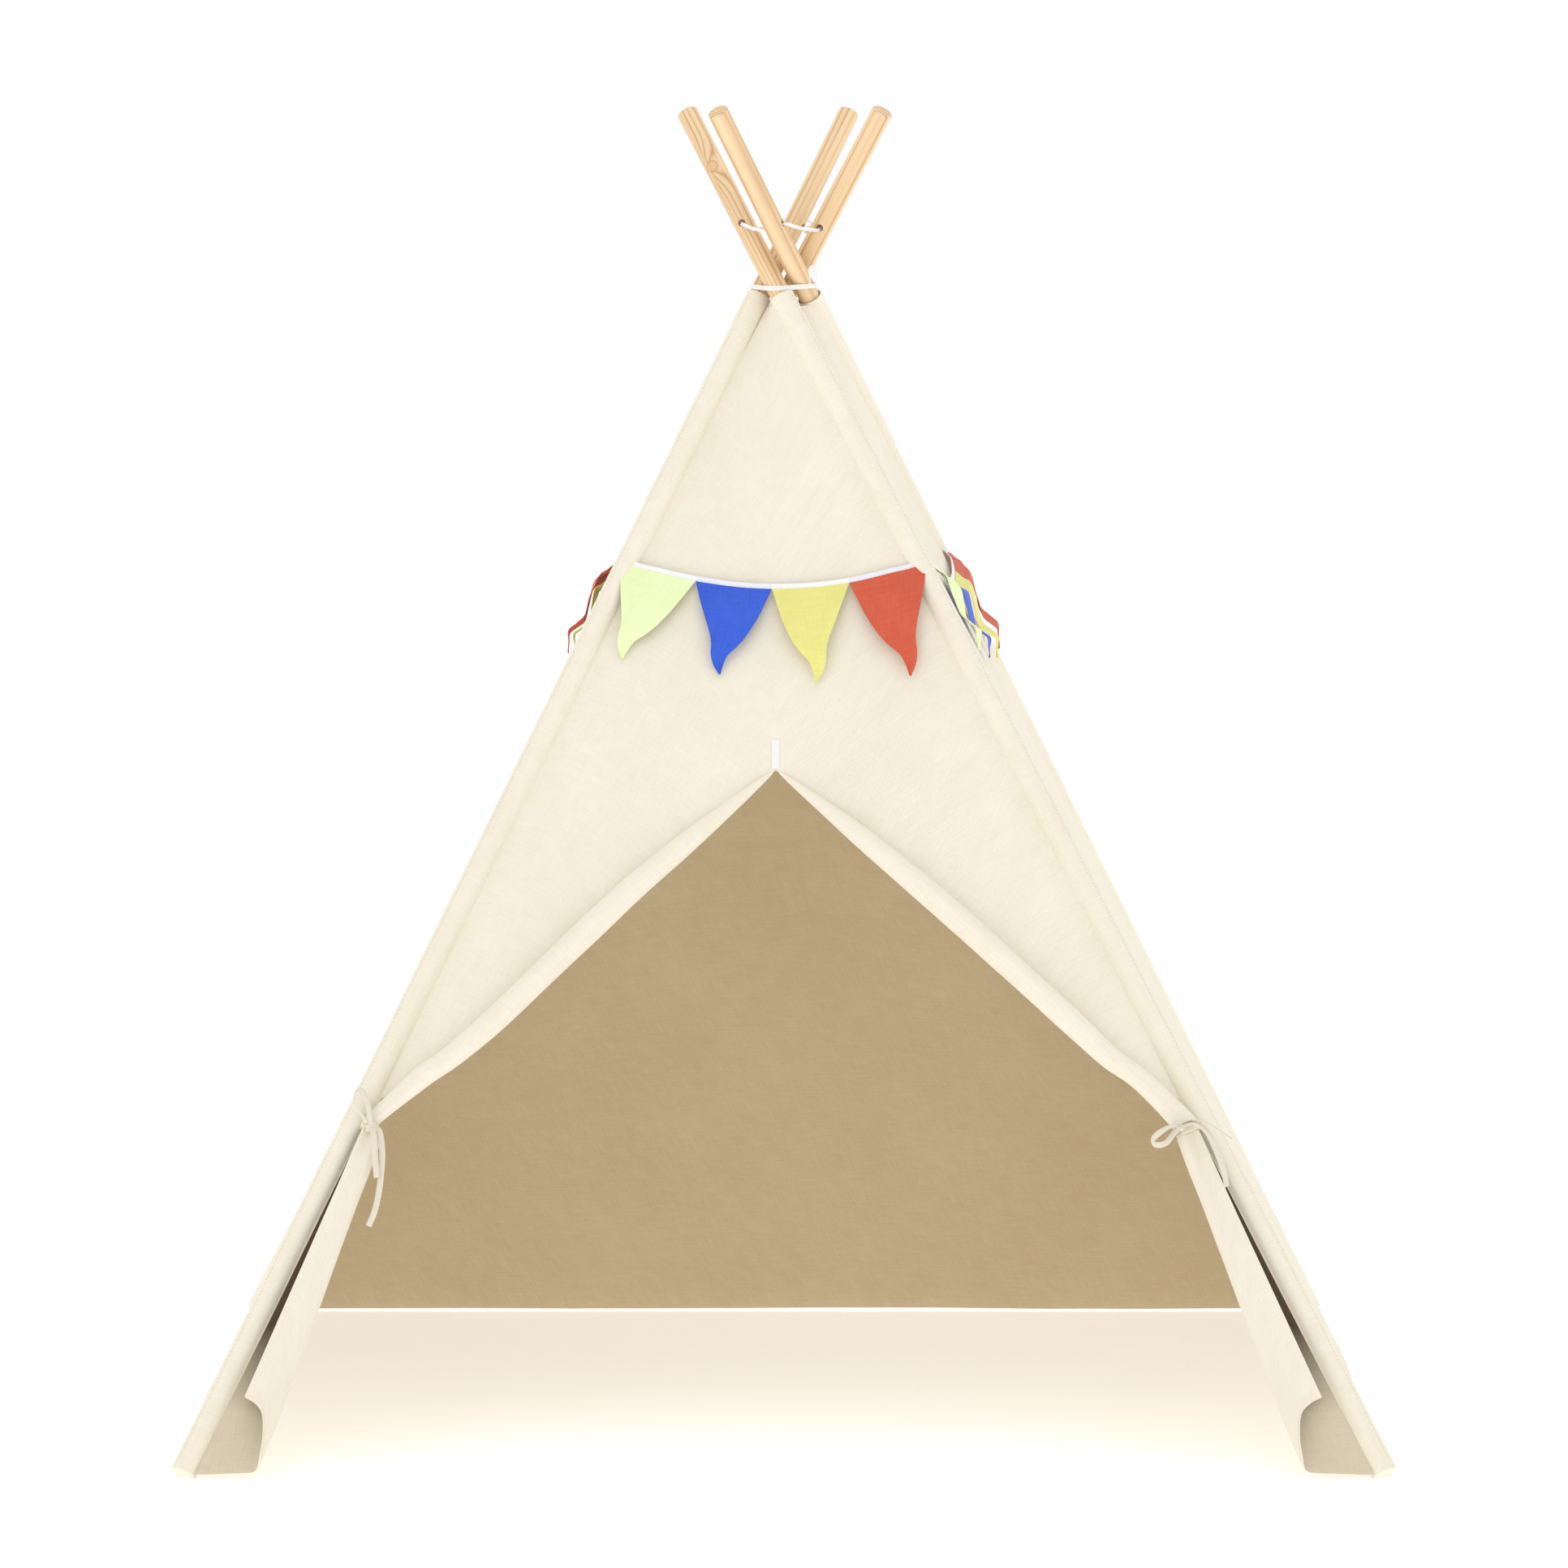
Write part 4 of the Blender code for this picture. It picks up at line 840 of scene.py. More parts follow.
def stitches(parts, line, outward):
    """Dashes along a line of points, each a small raised stitch with round ends."""
    run = lengths_along(line, 0)
    for start in np.arange(STITCH_PITCH / 2, run[-1] - STITCH_LENGTH, STITCH_PITCH):
        at = start + STITCH_LENGTH * STITCH_STEPS
        middle = np.stack([np.interp(at, run, line[:, i]) for i in range(3)], -1)
        out = unit(np.stack([np.interp(at, run, outward[:, i]) for i in range(3)], -1))
        along = unit(middle[-1] - middle[0])
        side = np.cross(along, out)
        size = STITCH_SIZES[:, None, None]
        angle = circle(STITCH_SIDES)[None, :, None]
        ring = side[:, None] * np.cos(angle) * STITCH_WIDTH / 2 + out[:, None] * np.sin(angle) * STITCH_HEIGHT
        parts.tube(middle[:, None] + ring * size)


def sleeve_radius(turns, angle, run):
    total = 0.0
    for around, start, long, seed, size in SLEEVE_LOOSENESS:
        along = run / long + SLEEVE_NOISE_START
        total = total + size * soft_noise(angle * around + start, along, seed + turns)
    return total


def toe_ring(angle, inset, lift):
    """A ring of the closed end: a slightly domed cut across the pole, flat where it meets the floor."""
    lean_down = (np.cos(angle) * INWARD[2] + np.sin(angle) * FLANK[2]) * SLEEVE_RADIUS
    size = 1.0 - inset
    floor_end = (SLEEVE_FLOOR_GAP - CROSSING_HEIGHT - lean_down * size) / POLE_UP[2]
    level = np.maximum(TOE_RUN + lift, floor_end)
    return np.stack((np.cos(angle) * SLEEVE_RADIUS * size, np.sin(angle) * SLEEVE_RADIUS * size, level), -1)


def make_sleeves():
    angle = circle(SLEEVE_SIDES)
    end = toe_ring(angle, *TOE_RINGS[0])[:, 2]
    top = -SLEEVE_TOP
    share = spread(0.0, 1.0, SLEEVE_ROWS)[:, None]
    share = share + SLEEVE_ROW_BUNCHING * np.sin(math.tau * share) / math.tau
    inner_end = TOE_RUN + SLEEVE_TOE_DEPTH
    for turns, leg in enumerate(LEG_NAMES):
        run = top + (end - top) * share
        around = np.broadcast_to(angle, run.shape)
        ease = smoothstep(1.0, 0.985, share) * smoothstep(0.0, 0.01, share)
        loose = sleeve_radius(turns, around, run) * ease
        radius = SLEEVE_RADIUS + loose
        wall = np.stack((np.cos(around) * radius, np.sin(around) * radius, run), -1)
        caps = [toe_ring(angle, inset, lift)[None] for inset, lift in TOE_RINGS[1:]]
        outer = leg_point(turns, np.concatenate([wall, *caps]))
        inner_wall = np.stack((np.cos(around), np.sin(around), np.maximum(run, inner_end)), -1)
        inner_wall[..., :2] *= SLEEVE_BORE_RADIUS
        last = inner_wall[-1:]
        inner_caps = [last + ((0.0, 0.0, inner_end) - last) * inset for inset, _ in TOE_RINGS[1:]]
        inner = leg_point(turns, np.concatenate([inner_wall, *inner_caps]))
        parts = Parts()
        parts.sheet(outer[::-1], inner[::-1], wrap=True)
        sleeve = parts.made("sleeve_" + leg, (CANVAS, CANVAS_INNER_PAINTED_SHADE))
        placed(sleeve, "leg_" + leg, "canvas", "pole_sleeve_" + leg)
        line_run = spread(top - SLEEVE_SEAM_TOP_GAP, inner_end, SLEEVE_SEAM_POINTS)
        line_radius = SLEEVE_RADIUS + sleeve_radius(turns, math.pi, line_run)
        line = np.stack((-line_radius, line_radius * 0.0, line_run), -1)
        out = np.broadcast_to((-1.0, 0.0, 0.0), line.shape)
        sewn = Parts()
        stitches(sewn, leg_point(turns, line), turned(out @ LEG_AXES, turns))
        placed(sewn.made("sleeve_stitches_" + leg, (THREAD,)), "leg_" + leg, "canvas")


# Panels of the cover, each in two halves that fold with their legs
PANEL_ROWS = 116
PANEL_COLUMNS = 50
PANEL_START_HEIGHT = 0.026
DOOR_ROWS = 54
HEM_STITCH_HEIGHT = PANEL_HEM_HEIGHT + 0.0095
HEM_STITCH_ENDS = ((0.006, 0.5), (0.5, 0.994))
HEM_STITCH_POINTS = 90


def door_edge_share(height, half):
    drop = (DOOR_TOP_HEIGHT - height) / (DOOR_TOP_HEIGHT - DOOR_CORNER_HEIGHT)
    corner = cover_width(DOOR_CORNER_HEIGHT) * (0.5 - DOOR_CORNER_SHARE)
    reach = corner * drop + DOOR_EDGE_BOW * 4.0 * drop * (1.0 - drop)
    steps = np.clip(drop, 0.0, 1.0) * (len(DOOR_EDGE_SHIFTS[half]) - 1)
    reach = reach - through(DOOR_EDGE_SHIFTS[half], steps)
    return np.where(drop > 0.0, 0.5 - reach / cover_width(height), 0.5)


def panel_grid(side, half):
    if side == 0:
        low = spread(DOOR_CORNER_HEIGHT, DOOR_TOP_HEIGHT, DOOR_ROWS)
        high = spread(DOOR_TOP_HEIGHT, PANEL_TOP_HEIGHT, PANEL_ROWS - DOOR_ROWS + 1)
        heights = np.concatenate((low, high[1:]))
        edge = door_edge_share(heights, half)
    else:
        low = PANEL_HEM_HEIGHT + np.array((0.0, 0.0105, 0.012))
        heights = np.concatenate((low, spread(PANEL_START_HEIGHT, PANEL_TOP_HEIGHT, PANEL_ROWS)))
        edge = np.full_like(heights, 0.5)
    columns = spread(0.0, 1.0, PANEL_COLUMNS)
    share = edge[:, None] * columns[None, :]
    if half:
        share = 1.0 - share[:, ::-1]
    return share, np.broadcast_to(heights[:, None], share.shape)


def make_panels():
    for side, name in enumerate(SIDE_NAMES):
        for half, hand in enumerate(HANDS):
            share, height = panel_grid(side, half)
            normals = skin_normal(side, share, height)
            outer = skin(side, share, height)
            thick = PANEL_THICKNESS + HEM_DOUBLED * smoothstep(*HEM_END, height)
            inner = outer - normals * thick[..., None]
            flat = cover_point(share, height)
            metres = np.stack((share * cover_width(height), lengths_along(flat, 0)), -1)
            parts = Parts()
            parts.sheet(turned(outer, side), turned(inner, side), metres, turned(normals, side))
            # The panels' inner faces take the inner canvas with its painted shade.
            piece = parts.made(f"{name}_cover_{hand}", (CANVAS, CANVAS_INNER_PAINTED_SHADE))
            leg = leg_of(side, half)
            placed(piece, "leg_" + leg, "canvas", name + "_panel")
            flatten(piece, half)
            cells = cell_areas(flat)
            cells[0], cells[-1] = cells[0] / 2, cells[-1] / 2
            cells[:, 0], cells[:, -1] = cells[:, 0] / 2, cells[:, -1] / 2
            wide = float(cover_width(height[0, 0] if side else DOOR_TOP_HEIGHT) / 2)
            if side:
                line_share = spread(*HEM_STITCH_ENDS[half], HEM_STITCH_POINTS)
                line = skin(side, line_share, HEM_STITCH_HEIGHT)
                out = skin_normal(side, line_share, np.full(HEM_STITCH_POINTS, HEM_STITCH_HEIGHT))
                sewn = Parts()
                stitches(sewn, turned(line, side), turned(out, side))
                hem = placed(sewn.made(f"{name}_hem_stitches_{hand}", (THREAD,)), "leg_" + leg, "canvas")
                flatten(hem, half)


# The white tape sewn over the top of the door
DOOR_TAPE_ROWS = 14
DOOR_TAPE_SLANT = 0.0012
DOOR_TAPE_RISE = 0.0004
DOOR_TAPE_SHIFT = 0.0003
DOOR_TAPE_SKINS = (0.0009, 0.0002)
DOOR_TAPE_EDGE = 0.0003


def make_door_tape():
    for half, hand in enumerate(HANDS):
        columns = spread(-0.5, 0.0, 4) if half == 0 else spread(0.0, 0.5, 4)
        rows = spread(0.0, 1.0, DOOR_TAPE_ROWS)
        across = columns[None, :] * DOOR_TAPE_WIDTH * np.ones((DOOR_TAPE_ROWS, 1))
        slant = (0.5 + columns)[None, :] * (1.0 - smoothstep(0.0, 0.2, rows))[:, None] * DOOR_TAPE_SLANT
        run = rows[:, None] * (DOOR_TAPE_LENGTH + DOOR_TAPE_WIDTH / 2)
        height = DOOR_TOP_HEIGHT + DOOR_TAPE_RISE + slant + run
        share = 0.5 + across / cover_width(height) - DOOR_TAPE_SHIFT
        edge = DOOR_TAPE_EDGE * (np.abs(across) > 0.45 * DOOR_TAPE_WIDTH)
        parts = Parts()
        outer = skin(0, share, height, DOOR_TAPE_SKINS[0] - edge)
        parts.sheet(outer, skin(0, share, height, DOOR_TAPE_SKINS[1]), slots=(0, 0))
        piece = parts.made("door_top_tape_" + hand, (WHITE_TAPE,))
        placed(piece, "leg_" + leg_of(0, half), "white_tape", "door_top_tape")
        flatten(piece, half)
        sewn_on(0, half, piece)


# Rolled door cloth: distance along, half width and depth, and how far its upper side runs out flat
ROLL_STATIONS = (
    (0.010, 0.0015, 0.0012, 0.0),
    (0.050, 0.0042, 0.0028, 0.0),
    (0.130, 0.0078, 0.0050, 0.0),
    (0.230, 0.0112, 0.0074, 0.05),
    (0.360, 0.0130, 0.0092, 0.12),
    (0.500, 0.0134, 0.0104, 0.18),
    (0.640, 0.0132, 0.0106, 0.15),
    (0.780, 0.0128, 0.0100, 0.08),
    (0.890, 0.0120, 0.0090, 0.0),
    (0.960, 0.0112, 0.0080, 0.0),
)
ROLL_CLEARANCE = 0.0010
ROLL_LIFT = 0.0009
ROLL_LIFT_FADE = (0.45, 0.20)
ROLL_FLATTENING = 0.93
ROLL_SOFTNESS = 0.035
ROLL_SOFT_LENGTH = 0.05
ROLL_GATHER = (0.75, 1.0)
ROLL_SIDES = 40
ROLL_ROWS = 110
GATHER_RIPPLES = ((0.10, 5, 1.0), (0.06, 8, 30.0))
NECK_STRETCH = {"left": 0.0015, "right": 0.0040}


def neck_axes(name, turns, sign):
    offset = SLEEVE_RADIUS + CLEARANCE * 2 + NECK_RADII[name] + TIE_THICKNESS
    centre = on_leg(turns, 0.0, offset * sign, NECK_HEIGHT)
    down = -turned(POLE_UP, turns)
    outward = cover_axes(0.5, NECK_HEIGHT)[2]
    return centre, down, unit(outward - down * (outward @ down))


def roll_frames(name, turns, sign):
    """Centre, half-width and half-depth vectors and flatness along the roll, ending in the tie."""
    rows = []
    for along, wide, depth, flat in ROLL_STATIONS:
        height = DOOR_TOP_HEIGHT + (DOOR_CORNER_HEIGHT - DOOR_TOP_HEIGHT) * along
        share = 0.5 + (0.5 - door_edge_share(height, int(sign > 0))) * sign
        across, slope, normal = cover_axes(share, height)
        run = unit(across * sign * (FOOT_SPACING / 2 - 2 * SLEEVE_RADIUS) - slope * CROSSING_HEIGHT / 2)
        lift = ROLL_LIFT * smoothstep(*ROLL_LIFT_FADE, along)
        point = cover_point(share, height) + normal * (PANEL_THICKNESS + ROLL_CLEARANCE + lift + depth)
        side = np.cross(run, normal) * sign
        rows.append((*point, *(side * wide), *(normal * depth), flat))
    centre, down, outward = neck_axes(name, turns, sign)
    radius = NECK_RADII[name]
    for step in (-0.5, 0.5):
        beside = np.cross(down, outward) * sign
        point = centre + down * NECK_LENGTH * step + beside * NECK_STRETCH[name]
        side = beside * (radius + NECK_STRETCH[name])
        rows.append((*point, *side, *(outward * radius), 0.0))
    steps = through(np.array(rows), spread(0.0, len(rows) - 1.0, ROLL_ROWS))
    return steps[:, :3], steps[:, 3:6], steps[:, 6:9], np.clip(steps[:, 9], 0.0, 1.0)


def make_rolls():
    angle = circle(ROLL_SIDES)
    (size_1, waves_1, turn_1), (size_2, waves_2, twist_2) = GATHER_RIPPLES
    for half, (name, turns, sign) in enumerate(FRONT_LEGS):
        centre, side, out, flat = roll_frames(name, turns, sign)
        run = lengths_along(centre, 0)[:, None]
        gather = smoothstep(*ROLL_GATHER, spread(0.0, 1.0, ROLL_ROWS))[:, None]
        ripple = size_1 * np.cos(waves_1 * angle + turn_1) + size_2 * np.cos(waves_2 * angle + run * twist_2)
        ripple = 1.0 + gather * ripple
        soft = soft_noise(run / ROLL_SOFT_LENGTH + 5.0, angle[None, :] * 1.2 + 9.0, 30 + turns)
        soft = 1.0 + ROLL_SOFTNESS * soft
        across = np.cos(angle)[None, :] * ripple * soft
        upper = smoothstep(-0.25, 1.0, np.cos(angle))[None, :]
        kept = 1.0 - ROLL_FLATTENING * flat[:, None] * upper
        level = (1.0 + np.sin(angle)[None, :] * ripple * soft) * kept - 1.0
        rings = centre[:, None] + side[:, None] * across[..., None] + out[:, None] * level[..., None]
        if sign > 0:
            rings = rings[:, ::-1]
        parts = Parts()
        parts.tube(rings)
        piece = parts.made("door_roll_cloth_" + name, (CANVAS,))
        placed(piece, "leg_" + LEG_NAMES[turns], "canvas", "door_roll_" + name)
        flatten(piece, half, neck_axes(name, turns, sign)[0], DOOR_TOP_HEIGHT)
        sewn_on(0, half, piece)


# Ties: a band round the neck, a wrapped knot, one loop and two tails as routes with the ways that they face
BOW_SCALE = 0.010
KNOT_SHIFTS = {"left": np.array((0.003, 0.0, -0.006)), "right": np.array((-0.012, 0.0, -0.004))}
KNOT_TILTS = {"left": math.radians(12.0), "right": math.radians(-18.0)}
KNOT_SIZE = (0.0125, KNOT_DEPTH, 0.0100)
HOOP_SIDES = 40
HOOP_BULGE = 0.0004
BOW_ROUTES = {
    "left": (
        (
            ((0, 0.2, 0), (-0.15, 0.6, 1.2), (-0.45, 0.85, 2.7), (-1.1, 0.9, 3.75), (-1.75, 0.8, 3.3),
             (-1.45, 0.65, 1.9), (-0.45, 0.3, 0.3)),
            ((0.1, -1, 0.1), (0.3, -1, 0.1), (0.4, -0.9, 0.2), (-0.1, -0.8, 0.6), (-0.9, -0.3, 0.1),
             (-1, -0.25, -0.1), (-0.8, -0.5, 0)),
        ),
        (
            ((0.1, 0.2, 0), (0.3, 0.8, -0.8), (0.45, 0.9, -2.4), (0.6, 0.85, -4), (0.75, 0.8, -5.7)),
            ((0, -1, 0), (0, -1, 0.1), (0.1, -1, 0), (0.1, -1, 0), (0, -1, 0)),
        ),
        (
            ((0.2, 0, 0), (0.9, 0.3, -0.5), (1.2, 0.35, -2.4), (1.2, 0.35, -4.3), (1, 0.3, -6.8),
             (0.6, 0.2, -9), (0, 0.1, -10.6)),
            ((0, -1, 0), (0.3, -0.9, 0.2), (0.1, -1, 0), (-0.1, -1, 0), (-0.1, -1, 0),
             (0, -1, 0), (0.1, -1, 0)),
        ),
    ),
    "right": (
        (
            ((0, 0.2, 0.1), (-1, 0.55, -0.25), (-2.1, 0.85, -1.10), (-2.65, 0.9, -1.85), (-2.25, 0.8, -2.35),
             (-1.4, 0.6, -2.05), (-0.7, 0.4, -1.1), (0, 0.15, -0.1)),
            ((0.2, -0.7, 0.8), (0.2, -0.8, 0.8), (0.5, -0.9, 0.4), (0.8, -0.8, 0.1), (0.2, -0.8, -0.6),
             (-0.4, -0.9, -0.5), (-0.5, -0.9, -0.4), (0, -1, 0)),
        ),
        (
            ((0, 0.2, 0.1), (1.4, 0.9, 0.3), (2.8, 1.3, -0.1), (5.3, 1.4, -1.9)),
            ((0, -0.3, 1), (0, -0.3, 1), (0.1, -0.4, 1), (0.3, -0.5, 1)),
        ),
        (
            ((0.1, 0.1, 0), (1.5, 1, 0), (2.8, 1.1, -1.1), (3.6, 1, -2.8), (4.3, 1, -5),
             (4.65, 0.9, -6.8)),
            ((0, -0.9, 0.4), (0.1, -0.9, 0.5), (0.2, -1, 0.2), (0, -1, 0.1), (-0.3, -1, 0),
             (-0.8, -0.8, 0)),
        ),
    ),
}


RIBBON_COLUMNS = 7
RIBBON_CUP_MIDDLE = 0.4
RIBBON_EDGE_THINNING = 0.55


def ribbon(parts, route, ways, width, thickness, count=40, cup=0.12):
    """A flat woven strap through a route, facing its ways, with soft edges and a slight hollow."""
    steps = spread(0.0, len(route) - 1.0, count)
    centre, facing = through(route, steps), through(ways, steps)
    along = unit(np.gradient(centre, axis=0))
    out = unit(facing - along * np.sum(facing * along, -1, keepdims=True))
    side = np.cross(along, out)
    columns = spread(1.0, -1.0, RIBBON_COLUMNS)[None, :, None]
    bow = -cup * width * (columns**2 - RIBBON_CUP_MIDDLE)
    flat = centre[:, None] + side[:, None] * columns * width / 2 + out[:, None] * bow
    body = thickness * (1.0 - RIBBON_EDGE_THINNING * columns**6) / 2
    parts.sheet(flat + out[:, None] * body, flat - out[:, None] * body, slots=(0, 0))


KNOT_ROWS = 22
KNOT_SIDES = 28
KNOT_ROUNDING = 0.80
KNOT_END = (1.06, 0.80)
KNOT_TWIST = 7.0
KNOT_TURN_SIZES = (0.06, 0.05)


def wrapped_knot(parts, centre, axes, size):
    """A small knot: a strap wound over a core, wider in the middle, with its turns showing."""
    level = spread(-1.0, 1.0, KNOT_ROWS)[:, None]
    angle = circle(KNOT_SIDES)[None, :]
    body = np.sqrt(np.clip(1.0 - KNOT_ROUNDING * level**4, 0.0, 1.0)) * smoothstep(*KNOT_END, np.abs(level))
    spiral, ripple = np.cos(level * KNOT_TWIST + angle), np.cos(3 * angle + 1.0)
    turns = 1.0 + KNOT_TURN_SIZES[0] * spiral + KNOT_TURN_SIZES[1] * ripple
    x = np.cos(angle) * body * turns * size[0] / 2
    y = np.sin(angle) * body * turns * size[1] / 2
    z = np.broadcast_to(level * size[2] / 2, x.shape)
    local = np.stack((x, y, z), -1)
    parts.tube(centre + local @ np.asarray(axes))


def make_ties():
    for half, (name, turns, sign) in enumerate(FRONT_LEGS):
        centre, down, outward = neck_axes(name, turns, sign)
        across, slope, normal = cover_axes(0.5, NECK_HEIGHT)
        inner = NECK_RADII[name] + CLEARANCE
        parts = Parts()
        angle = circle(HOOP_SIDES)[None, :]
        rows = spread(-0.5, 0.5, 7)[:, None] + 0 * angle
        beside = np.cross(outward, down)
        ways = beside * np.cos(angle)[..., None] + outward * np.sin(angle)[..., None]
        longer = beside * (np.cos(angle) - sign)[..., None] * NECK_STRETCH[name]
        hoop = centre + down * (rows * TIE_WIDTH)[..., None] + longer
        outer_radius = inner + TIE_THICKNESS * 0.85 + HOOP_BULGE * (1.0 - (2 * rows) ** 2)
        parts.sheet(hoop + ways * outer_radius[..., None], hoop + ways * inner, wrap=True, slots=(0, 0))
        axes = np.stack((across, normal, slope))
        middle = centre + outward * (inner + TIE_THICKNESS - KNOT_BITE + KNOT_DEPTH / 2)
        middle = middle + KNOT_SHIFTS[name] @ axes
        c, s = math.cos(KNOT_TILTS[name]), math.sin(KNOT_TILTS[name])
        knot_axes = np.stack((across * c + slope * s, -normal, slope * c - across * s))
        wrapped_knot(parts, middle, knot_axes, KNOT_SIZE)
        for route, ways in BOW_ROUTES[name]:
            points = middle + np.asarray(route) * BOW_SCALE @ axes
            ways = np.asarray(ways)
            facing = ways[:, [0, 2]] @ axes[[0, 2]] - ways[:, 1:2] * normal
            ribbon(parts, points, facing, TIE_WIDTH, TIE_THICKNESS * 0.8)
        piece = parts.made("door_tie_strap_" + name, (CREAM_TAPE,))
        placed(piece, "leg_" + LEG_NAMES[turns], "cream_tape", "door_tie_" + name)
        sewn_on(0, half, piece)


# Door curtains: the cloth that hangs folded below each tie
CURTAIN_ROWS = 70
CURTAIN_COLUMNS = 64
CURTAIN_FOLD_COLUMN = 5.0
CURTAIN_HEM_BAND = 0.0048
CURTAIN_EDGE_SWELL = 0.0003
CURTAIN_WAVE = 0.0022
CURTAIN_WAVES = 1.6
CURTAIN_RIPPLE = 0.0009
CURTAIN_GATHER = 0.0016
CURTAIN_GATHER_END = 0.28
CURTAIN_STITCH_END = 1.15
CURTAIN_STITCH_POINTS = 40
CURTAIN_STITCH_STEPS = (0.02, 0.01)
CURTAIN_STITCH_GAP = 0.0002


def curtain_points(name, turns, sign, step, column):
    """Points of a folded curtain: steps run down from the tie, columns from the seam round the fold."""
    centre, _, outward = neck_axes(name, turns, sign)
    out_way = unit(turned(outward, -turns) @ LEG_AXES.T)
    across_way = np.cross((0.0, 0.0, 1.0), out_way) * -sign
    seam_way = np.array((math.cos(SEAM_ANGLE), math.sin(SEAM_ANGLE) * sign, 0.0))
    seam = seam_way * (SEAM_RADIUS + CURTAIN_THICKNESS)
    top = leg_local(turns, centre)[2] - NECK_LENGTH / 2 - CLEARANCE
    width = CURTAIN_WIDTHS[name] * through(CURTAIN_WIDTH_SHARES, step * (len(CURTAIN_WIDTH_SHARES) - 1))
    depth = between(CURTAIN_DEPTHS, step)
    across = through(CURTAIN_ACROSS_SHARES, column)
    out = through(CURTAIN_DEPTH_SHARES, column)
    rise = np.clip(through(CURTAIN_HEM_SHARES, column), 0.0, 1.0)
    wave = CURTAIN_WAVE * np.sin(math.tau * CURTAIN_WAVES * (step + across / 2)) * step * across
    ripple = soft_noise(column / 2.0 + 3.0 + 0 * step, step * 6.0 + 0 * column, 90 + turns)
    wave = wave + CURTAIN_RIPPLE * ripple
    gather = (1.0 - smoothstep(0.0, CURTAIN_GATHER_END, step)) * CURTAIN_GATHER
    gather = gather * np.sin(column * 2.6 + 1.0) * smoothstep(0, 2, column)
    free_gap = between(CURTAIN_FREE_EDGE_GAPS, step)
    edge_share = CURTAIN_ACROSS_SHARES[-1]
    front = free_gap + (width - free_gap) * (across - edge_share) / (1.0 - edge_share)
    span = np.where(column > CURTAIN_FOLD_COLUMN, front, across * width)
    flat = seam + across_way * span[..., None] + out_way * (out * depth + wave + gather)[..., None]
    hem = between((CURTAIN_HEM_HEIGHT, CURTAIN_CORNER_HEIGHT), rise)
    base = (CROSSING + flat[..., :2] @ LEG_AXES[:2])[..., 2]
    bottom = (hem - base) / POLE_UP[2]
    local = np.stack((flat[..., 0], flat[..., 1], top + (bottom - top) * step), -1)
    return leg_point(turns, local)


def make_curtains():
    for name, turns, sign in FRONT_LEGS:
        step = spread(0.0, 1.0, CURTAIN_ROWS)[:, None]
        column = spread(0.0, len(CURTAIN_ACROSS_SHARES) - 1.0, CURTAIN_COLUMNS)[None, :]
        points = curtain_points(name, turns, sign, step, column)
        if sign < 0:
            points = points[:, ::-1]
        points = points[::-1]
        normals = grid_normals(points, False)
        edge = np.zeros(points.shape[:2])
        edge[:2] = 1.0
        free = slice(-3, None) if sign > 0 else slice(0, 3)
        edge[:, free] = 1.0
        half = (CURTAIN_THICKNESS / 2 + CURTAIN_EDGE_SWELL * edge)[..., None]
        parts = Parts()
        parts.sheet(points + normals * half, points - normals * half)
        # The curtain's inner face takes the fold's painted shade.
        piece = parts.made("door_curtain_cloth_" + name, (CANVAS, FOLD_INNER_PAINTED_SHADE))
        placed(piece, "curtain_" + name, "canvas", "door_curtain_" + name)
        long = float(np.linalg.norm(np.diff(points, axis=0), axis=-1).sum(0).max())
        last = len(CURTAIN_ACROSS_SHARES) - CURTAIN_STITCH_END
        seen = spread(CURTAIN_FOLD_COLUMN, last, CURTAIN_STITCH_POINTS)
        up = 1.0 - CURTAIN_HEM_BAND / long
        line = curtain_points(name, turns, sign, up, seen)
        beside = curtain_points(name, turns, sign, up, seen + CURTAIN_STITCH_STEPS[0]) - line
        above = curtain_points(name, turns, sign, up - CURTAIN_STITCH_STEPS[1], seen) - line
        out = unit(np.cross(beside, above)) * sign
        sewn = Parts()
        stitches(sewn, line + out * (CURTAIN_THICKNESS / 2 + CURTAIN_STITCH_GAP), out)
        placed(sewn.made("door_curtain_stitches_" + name, (THREAD,)), "curtain_" + name, "canvas")


# Elastic band round the poles and the lace through their tops
BAND_POINTS = 96
BAND_PUFF = 0.0009
BAND_BULGE = 0.0003
BAND_BULGE_SHARES = (0.0, 0.8, 1.0, 0.7, 1.0, 0.8, 0.0)
BAND_RISE = 0.0005
BAND_TILT = (0.0011, 0.0020)
BAND_LOOP_SIZE = (0.0045, 0.0009)
BAND_LOOP_ROUTE = (
    (-0.009, -0.018, -0.001), (-0.009, -0.017, 0.009), (-0.0055, -0.015, 0.0175), (-0.001, -0.014, 0.011),
    (-0.0005, -0.014, -0.001),
)
BAND_LOOP_WAYS = ((0, -1, 0), (0.2, -1, 0), (0.4, -0.9, 0.2), (0.8, -0.6, 0), (0.8, -0.6, 0))


def band_ring(height, offset):
    """The tightest loop round the four tilted poles at a height, an offset away from them."""
    loop = []
    for angle in circle(BAND_POINTS):
        way = np.array((math.cos(angle), math.sin(angle)))
        best = None
        for turns in range(4):
            up = turned(POLE_UP, turns)
            middle = on_leg(turns, 0.0, 0.0, height)[:2]
            lean = unit(up[:2])
            flank = np.array((-lean[1], lean[0]))
            along = POLE_RADIUS / up[2]
            a, b = along * (way @ lean), POLE_RADIUS * (way @ flank)
            reach = math.hypot(a, b)
            touch = middle + lean * (along * a / reach) + flank * (POLE_RADIUS * b / reach)
            if best is None or touch @ way > best @ way:
                best = touch
        loop.append((*(best + way * offset), height))
    return np.array(loop)


